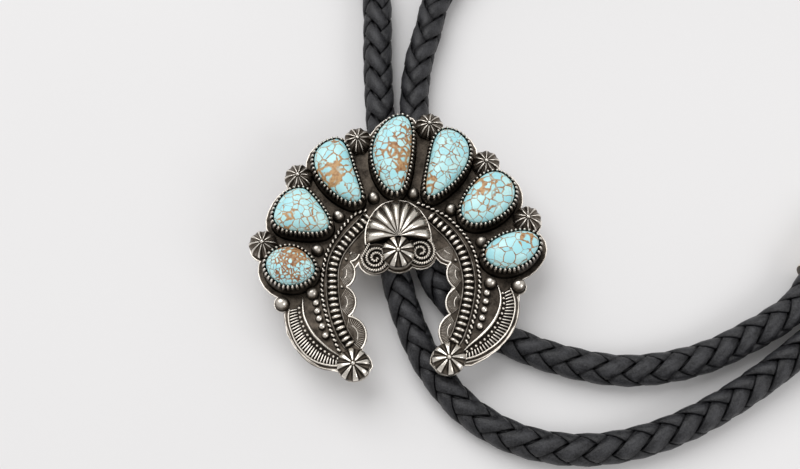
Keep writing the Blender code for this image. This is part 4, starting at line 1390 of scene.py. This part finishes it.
def fluted_dome(name, radius, rim, height, flutes, ray, depth, shade):
    """A fluted button: bright raised rays with dark hollows between them, over a low rim.

    The ray is a ray's share of its flute, and the shade is how worn a hollow is at its edge and how much
    more at its middle.
    """
    rows, around = 14, 12

    def shape(u, v):
        turn = 2 * math.pi * u
        row = round(v * (rows + 2))
        if row == 0:
            return (0.0, 0.0, -SUNK), 0.0
        lobe = flutes * u % 1
        near = 2 * min(lobe, 1 - lobe)
        sunk = clamp((near - ray) / (1 - ray)) ** 0.7
        edge = radius * (1 - 0.05 * sunk)
        if row == 1:
            return (edge * math.cos(turn), edge * math.sin(turn), -SUNK), 0.1
        climb = math.pi / 2 * (row - 2) / rows
        cut = depth * sunk * (0.45 + 0.55 * math.sin(2 * climb)) if row < rows + 2 else 0.0
        reach = edge * math.cos(climb) ** 0.9
        rise = rim + (height - rim) * math.sin(climb) - cut
        worn = 1.0 if near <= ray + 0.01 else shade[0] + shade[1] * sunk**1.6
        if climb > 1.36:
            worn = 0.30
        return (reach * math.cos(turn), reach * math.sin(turn), rise), worn

    dome = formed(name, flutes * around, rows + 2, shape)
    ball = 0.52 * MM
    pearl = knob(name, (ball, ball, ball), 2.0, 14, 8, 1.1, -1.6)
    pearl.data.transform(Matrix.Translation((0, 0, height + 0.1 * MM)))
    return joined(name, [dome, pearl])


class BOLOTIE_OT_buttons(bpy.types.Operator):
    """Add the small and large fluted buttons, each with a ball on top"""

    bl_idname = "bolotie.buttons"
    bl_label = "Fluted Buttons"

    def execute(self, context):
        values = settings().silver
        base = plate_top()
        small = fluted_dome(
            "small_buttons", values.small_button, 0.5 * MM, 3.1 * MM, 10, 0.22, 0.60 * MM, (0.22, 0.30)
        )
        spots = []
        for k, share in enumerate(SMALL_BUTTONS):
            spots.append(standing(share, base) @ Matrix.Rotation(1.3 * k, 4, "Z"))
        on_slide(copied("small_buttons", small, spots))
        radius = values.large_button
        large = fluted_dome("large_buttons", radius, 0.7 * MM, 2.4 * MM, 8, 0.42, 0.75 * MM, (0.06, 0.26))
        collar = turned("button_collars", (
            (0.0, -SUNK, 0.0), (radius - 0.05 * MM, -SUNK, 0.2), (radius + 0.02 * MM, 0.10 * MM, 0.55),
            (radius - 0.1 * MM, 0.30 * MM, 0.7), (radius - 0.4 * MM, 0.32 * MM, 0.2), (0.0, 0.3 * MM, 0.0),
        ), 40, 35)
        spots, under = [], []
        for share, lift, turn in (
            (MIDDLE_BUTTON, 1.9 * MM, 0.35),
            (TIP_BUTTONS[0], 0.1 * MM, 0.1),
            (TIP_BUTTONS[1], 0.1 * MM, 0.05),
        ):
            spots.append(standing(share, base + lift + 0.2 * MM) @ Matrix.Rotation(turn, 4, "Z"))
            under.append(standing(share, base) @ Matrix.Diagonal((1, 1, (lift + SUNK) / (0.45 * MM), 1)))
        on_slide(copied("large_buttons", large, spots))
        on_slide(copied("button_collars", collar, under))
        return {"FINISHED"}


class BOLOTIE_OT_shell(bpy.types.Operator):
    """Add the fluted shell and its thin rim"""

    bl_idname = "bolotie.shell"
    bl_label = "Fluted Shell"

    def execute(self, context):
        values = settings().silver
        foot = place(SHELL_FOOT)
        base = plate_top()
        flutes, rows, across, rim_steps = 9, 20, 20, 90

        def rim_point(round_share, share, height):
            turn = math.pi * (1.08 * round_share - 0.04)
            return (
                foot.x + values.shell_half_width * share * math.cos(turn),
                foot.y + values.shell_height * share * math.sin(turn),
                base + height,
            )

        def shape(u, v):
            row = round(v * (rows + 1))
            if row == 0:
                return rim_point(u, 0.94, -SUNK), 0.0
            share = 0.965 - 0.95 * (row - 1) / rows
            lobe = flutes * u % 1
            near = 2 * min(lobe, 1 - lobe)
            spread = share**0.8
            climb = math.pi / 2 * clamp((0.97 - share) / 0.6)
            crown = 1.7 * MM + (values.shell_rise - 2.0 * MM) * math.sin(climb)
            crown -= 0.45 * MM * clamp((0.45 - share) / 0.4)
            crown -= 0.55 * MM * clamp((share - 0.84) / 0.12) ** 2
            bulge = math.sin(math.pi * lobe) ** 0.75
            height = crown + spread * (1.05 * bulge - 0.55) * MM
            if 0.10 < near < 0.22:
                height -= 0.10 * MM * spread
            side = clamp(min(u, 1 - u) * flutes * across / 2.5)
            height = -SUNK + (height + SUNK) * side**0.5
            worn = 0.38 + 0.62 * clamp((near - 0.18) / 0.45)
            if near < 0.08:
                worn = 0.42
            elif near < 0.18:
                worn = 0.05
            worn -= 0.3 * clamp((0.28 - share) / 0.12)
            worn -= 0.15 * clamp((share - 0.92) / 0.03)
            return rim_point(u, share, height), worn * side

        fan = formed("shell", flutes * across, rows + 1, shape)
        arc = [Vector(rim_point(k / rim_steps, 0.975, 1.05 * MM)) for k in range(rim_steps + 1)]
        rim = band("shell", Track(arc), rim_steps, listed((
            (0.24 * MM, -1.2 * MM, 0.2), (0.26 * MM, 0.0, 0.7), (0.13 * MM, 0.22 * MM, 1.0),
            (-0.10 * MM, 0.22 * MM, 1.0), (-0.22 * MM, 0.0, 0.3), (-0.22 * MM, -1.2 * MM, 0.0),
        )), 6)
        on_slide(joined("shell", [fan, rim]))
        return {"FINISHED"}


class BOLOTIE_OT_spirals(bpy.types.Operator):
    """Add the two coils of twisted wire on their discs"""

    bl_idname = "bolotie.spirals"
    bl_label = "Wire Spirals"

    def execute(self, context):
        values = settings().silver
        base = plate_top()
        coil_steps = 180
        parts, spots, lays = [], [], []
        for row in SPIRALS:
            centre = place((row["x"], row["y"]))
            points = []
            if row["tail"]:
                points.append(centre + Vector((*row["tail"], 0)))
            for k in range(coil_steps + 1):
                part = k / coil_steps
                angle = math.radians(row["start"]) + row["hand"] * 2 * math.pi * row["turns"] * part
                reach = row["outer"] + (row["inner"] - row["outer"]) * part
                points.append(centre + reach * Vector((math.cos(angle), math.sin(angle), 0)))
            lift = Vector((0, 0, base + 0.95 * MM))
            track = Track([point + lift for point in smooth_line(points, 0.12 * MM)])
            parts.append(rope_core("spiral_cores", track, values.spiral_wire, 200))
            lays.extend(rope_lays(track, 0.56 * MM, -38, 0.1 * MM))
            spots.append(standing((row["x"], row["y"]), base))
        on_slide(joined("spiral_cores", parts))
        half = values.spiral_wire / 2
        lay = knob("wire_spirals", (0.25 * MM, 1.28 * half, 1.3 * half), 2.3, 8, 8, 1.25, 0.1)
        on_slide(copied("wire_spirals", lay, lays))
        radius = values.spiral_pad
        pad = turned("spiral_pads", (
            (0.0, -SUNK, 0.0), (radius, -SUNK, 0.1), (radius, 0.55 * MM, 0.6),
            (radius - 0.12 * MM, 0.68 * MM, 0.55), (radius - 0.35 * MM, 0.66 * MM, 0.05),
            (0.0, 0.66 * MM, 0.0),
        ), 56, 35)
        on_slide(copied("spiral_pads", pad, spots))
        return {"FINISHED"}


class BOLOTIE_OT_wires(bpy.types.Operator):
    """Add the ribbed half-round wires, their thin edges and the twisted rope wires"""

    bl_idname = "bolotie.wires"
    bl_label = "Ribbed and Rope Wires"

    def execute(self, context):
        values = settings().silver
        base = plate_top()
        steps = 60
        cores, edges, spots, ropes, lays = [], [], [], [], []
        for line in (LEFT_RIBBED, RIGHT_RIBBED):
            track = flat_track(line, base, 0.5 * MM)
            cores.append(band("ribbed_cores", track, steps, oval(1.2 * MM, 0.85 * MM, 0.1 * MM), 16))
            for aside in (1.5 * MM, -1.5 * MM):
                section = oval(0.15 * MM, 0.3 * MM, 0.25 * MM, (0.3, 0.25), aside)
                edges.append(band("ribbed_edges", track, steps, section, 8))
            spots.extend(spots_along(track, round(track.length / values.rib_pitch), 0.3 * MM))
        on_slide(joined("ribbed_cores", cores))
        on_slide(joined("ribbed_edges", edges))
        rib = knob("ribs", (0.52 * MM, 1.36 * MM, 1.65 * MM), 2.5, 12, 14, 1.1, 0.25)
        on_slide(copied("ribs", rib, spots))
        for line in (LEFT_ROPE, RIGHT_ROPE):
            track = flat_track(line, base + 0.3 * MM, 0.3 * MM)
            ropes.append(rope_core("rope_cores", track, values.rope_wire, steps))
            lays.extend(rope_lays(track, values.rope_pitch, -52, 0.3 * MM))
        on_slide(joined("rope_cores", ropes))
        half = values.rope_wire / 2
        lay = knob("rope_wires", (0.38 * MM, 1.20 * half, 1.25 * half), 2.3, 10, 12, 1.15, 0.1)
        on_slide(copied("rope_wires", lay, lays))
        return {"FINISHED"}


class BOLOTIE_OT_balls(bpy.types.Operator):
    """Add the balls and the rows of beads"""

    bl_idname = "bolotie.balls"
    bl_label = "Balls and Beads"

    def execute(self, context):
        values = settings().silver
        base = plate_top()
        for name, places, radius, lift, crown in (
            ("balls", BALLS, values.ball, 0.8, 0.72),
            ("outer_balls", OUTER_BALLS, values.outer_ball, 0.7, 0.80),
            ("bead_rows", BEADS, values.bead, 0.75, 0.90),
        ):
            ball = knob(name, (radius, radius, radius), 2.0, 24, 14, crown, -0.35)
            collar = turned(name, (
                (0.0, -radius * lift, 0.0), (radius * 1.12, -radius * lift, 0.05),
                (radius, -radius * 0.5, 0.12), (radius * 0.7, -radius * 0.35, 0.0),
                (0.0, -radius * 0.35, 0.0),
            ), 24)
            spots = [standing(share, base + radius * lift) for share in places]
            on_slide(copied(name, joined(name, [ball, collar]), spots))
        return {"FINISHED"}


class BOLOTIE_OT_scallops(bpy.types.Operator):
    """Add the stamped scallops of the inner border, their bright rims and the dots between them"""

    bl_idname = "bolotie.scallops"
    bl_label = "Scalloped Border"

    def execute(self, context):
        values = settings().silver
        base = plate_top()
        faces, rims, lines = [], [], []
        deep = values.scallop_depth
        steps = 28
        half = steps // 2
        for rows in (LEFT_SCALLOPS, RIGHT_SCALLOPS):
            for n, row in enumerate(rows):
                middle, radius, points = arc_through(*(place(share) for share in row), steps)
                lift = Vector((0, 0, base + 0.02 * MM * n))
                track = Track([point + lift for point in points])
                inward = 1 if (middle - points[half]).dot(track.frames[half][1]) > 0 else -1
                reach = deep / MM * (1.35 if n == 0 else 1.0)
                section = (
                    (-0.25, -0.15, 0.1), (-0.25, 0.10, 0.1), (0.3, 0.12, 0.05), (0.6, 0.16, 0.20),
                    (1.8, 0.14, 0.22), (reach, 0.10, 0.12), (reach, -0.15, 0.0),
                )
                corners = [(inward * across * MM, rise * MM, worn) for across, rise, worn in section]
                faces.append(band("stamped_scallops", track, steps, listed(corners), len(corners), 40))
                section = oval(0.29 * MM, 0.48 * MM, 0.05 * MM, (0.5, 0.7))
                rims.append(band("scallop_rims", track, steps, section, 10))
                inner = []
                for point in points[5:24]:
                    inner.append(middle + (point - middle) * (1 - 2.0 * MM / radius) + lift)
                section = oval(0.13 * MM, 0.2 * MM, 0.12 * MM, (0.4, 0.5))
                lines.append(band("scallop_lines", Track(inner), 18, section, 8))
        stamped = silver_material("stamped_silver", stamped=True)
        finished(joined("stamped_scallops", faces), stamped, "silver", "naja")
        on_slide(joined("scallop_rims", rims))
        on_slide(joined("scallop_lines", lines))
        dot = knob("cusp_dots", (0.42 * MM, 0.42 * MM, 0.50 * MM), 2.0, 12, 8, 0.75, -0.2)
        spots = [standing(share, base + 0.25 * MM) for share in CUSP_DOTS]
        on_slide(copied("cusp_dots", dot, spots))
        return {"FINISHED"}


class BOLOTIE_OT_leaves(bpy.types.Operator):
    """Add the crescent leaves: bright rim, stamped bars, dots and the smooth inner ridge"""

    bl_idname = "bolotie.leaves"
    bl_label = "Crescent Leaves"

    def execute(self, context):
        base = plate_top()
        steps, bar_count, dot_count = 60, 27, 15
        ridges, rims, beds, flats, bars, dots, edges = [], [], [], [], [], [], []
        for line in (LEFT_EDGE, RIGHT_EDGE):
            section = oval(0.25 * MM, 0.32 * MM, -0.25 * MM, (0.35, 0.35))
            edges.append(band("leaf_edges", flat_track(line, base, 0.4 * MM), steps, section, 10))
        on_slide(joined("leaf_edges", edges))

        def ridge_section(turn, share):
            wide = math.sin(math.pi * (0.04 + 0.94 * share)) ** 0.6
            tall = math.sin(math.pi * (0.06 + 0.9 * share)) ** 0.5 * max(math.sin(turn), -0.3)
            return 0.46 * MM * wide * math.cos(turn), (0.2 + 1.1 * tall) * MM, 0.35 + 0.85 * math.sin(turn)

        for inner, middle, outer in ((LEFT_RIDGE, LEFT_DOTS, LEFT_RIM), (RIGHT_RIDGE, RIGHT_DOTS, RIGHT_RIM)):
            ridge, row, rim = (flat_track(line, base, 0.4 * MM) for line in (inner, middle, outer))
            ridges.append(band("leaf_ridges", ridge, steps, ridge_section, 12))
            section = oval(0.24 * MM, 0.6 * MM, 0.2 * MM, (0.4, 0.75))
            rims.append(band("leaf_rims", rim, steps, section, 10))
            beds.append(sheet_between("leaf_beds", rim, row, 40, -0.15 * MM, 0.18 * MM, 0.0))
            flats.append(sheet_between("leaf_flats", row, ridge, 40, -0.15 * MM, 0.34 * MM, 0.06))
            for k in range(bar_count):
                share = (k + 0.6) / bar_count
                start = rim.at(rim.length * share)[0]
                end = row.at(row.length * share)[0]
                run = end - start
                long = run.normalized()
                wide = long.cross(Vector((0, 0, 1)))
                turn = Matrix((wide, long, Vector((0, 0, 1)))).transposed().to_4x4()
                stretch = Matrix.Diagonal((1, run.length / (2 * MM), 1, 1))
                spot = (start + end) / 2 + Vector((0, 0, 0.22 * MM))
                bars.append(Matrix.Translation(spot) @ turn @ stretch)
            for k in range(dot_count):
                share = (k + 0.6) / dot_count
                spot = row.at(row.length * share)[0].lerp(ridge.at(ridge.length * share)[0], 0.24)
                dots.append(Matrix.Translation(spot + Vector((0, 0, 0.45 * MM))))
        for name, parts in (
            ("leaf_ridges", ridges), ("leaf_rims", rims), ("leaf_beds", beds), ("leaf_flats", flats),
        ):
            on_slide(joined(name, parts))
        bar = knob("leaf_bars", (0.165 * MM, 1.0 * MM, 0.26 * MM), 3.6, 8, 6, 0.85, -0.1)
        on_slide(copied("leaf_bars", bar, bars))
        dot = knob("leaf_dots", (0.36 * MM, 0.36 * MM, 0.36 * MM), 2.0, 10, 6, 1.1, -0.3)
        on_slide(copied("leaf_dots", dot, dots))
        return {"FINISHED"}


class BOLOTIE_OT_fittings(bpy.types.Operator):
    """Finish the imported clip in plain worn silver"""

    bl_idname = "bolotie.fittings"
    bl_label = "Slide Clip"

    def execute(self, context):
        material = silver_material("plain_silver", worn=0.72)
        for slot in frame["nodes"]["slide_clip"].material_slots:
            slot.material = material
        return {"FINISHED"}


class BOLOTIE_PT_panel(bpy.types.Panel):
    """The bolo tie's pieces, in the order that they are made"""

    bl_idname = "BOLOTIE_PT_panel"
    bl_label = "Bolo Tie"
    bl_space_type = "VIEW_3D"
    bl_region_type = "UI"
    bl_category = "Bolo Tie"

    def draw(self, context):
        values = context.scene.bolo_tie
        for group in (values.stage, values.cord, values.silver, values.stone):
            box = self.layout.box()
            for name in group.__annotations__:
                box.prop(group, name)
        for operator in OPERATORS:
            self.layout.operator(operator.bl_idname)


GROUPS = (SilverSettings, StoneSettings, CordSettings, StageSettings, BoloTieSettings)
OPERATORS = (
    BOLOTIE_OT_stage, BOLOTIE_OT_cords, BOLOTIE_OT_plate, BOLOTIE_OT_bezels, BOLOTIE_OT_stones,
    BOLOTIE_OT_buttons, BOLOTIE_OT_shell, BOLOTIE_OT_spirals, BOLOTIE_OT_wires, BOLOTIE_OT_balls,
    BOLOTIE_OT_scallops, BOLOTIE_OT_leaves, BOLOTIE_OT_fittings,
)


def register():
    for made in (*GROUPS, *OPERATORS, BOLOTIE_PT_panel):
        bpy.utils.register_class(made)
    bpy.types.Scene.bolo_tie = bpy.props.PointerProperty(type=BoloTieSettings)


def unregister():
    del bpy.types.Scene.bolo_tie
    for made in reversed((*GROUPS, *OPERATORS, BOLOTIE_PT_panel)):
        bpy.utils.unregister_class(made)


def main():
    """Builds every piece in order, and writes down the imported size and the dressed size."""
    register()
    bpy.ops.bolotie.stage()
    bpy.ops.bolotie.cords()
    bpy.ops.bolotie.plate()
    bpy.ops.bolotie.bezels()
    bpy.ops.bolotie.stones()
    bpy.ops.bolotie.buttons()
    bpy.ops.bolotie.shell()
    bpy.ops.bolotie.spirals()
    bpy.ops.bolotie.wires()
    bpy.ops.bolotie.balls()
    bpy.ops.bolotie.scallops()
    bpy.ops.bolotie.leaves()
    bpy.ops.bolotie.fittings()
    dressed = [list(corner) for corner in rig.bounds()]
    with open("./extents.json", "w") as sizes:
        json.dump({"cad": PACKED_BOX, "scene": dressed}, sizes)


if __name__ == "__main__":
    main()
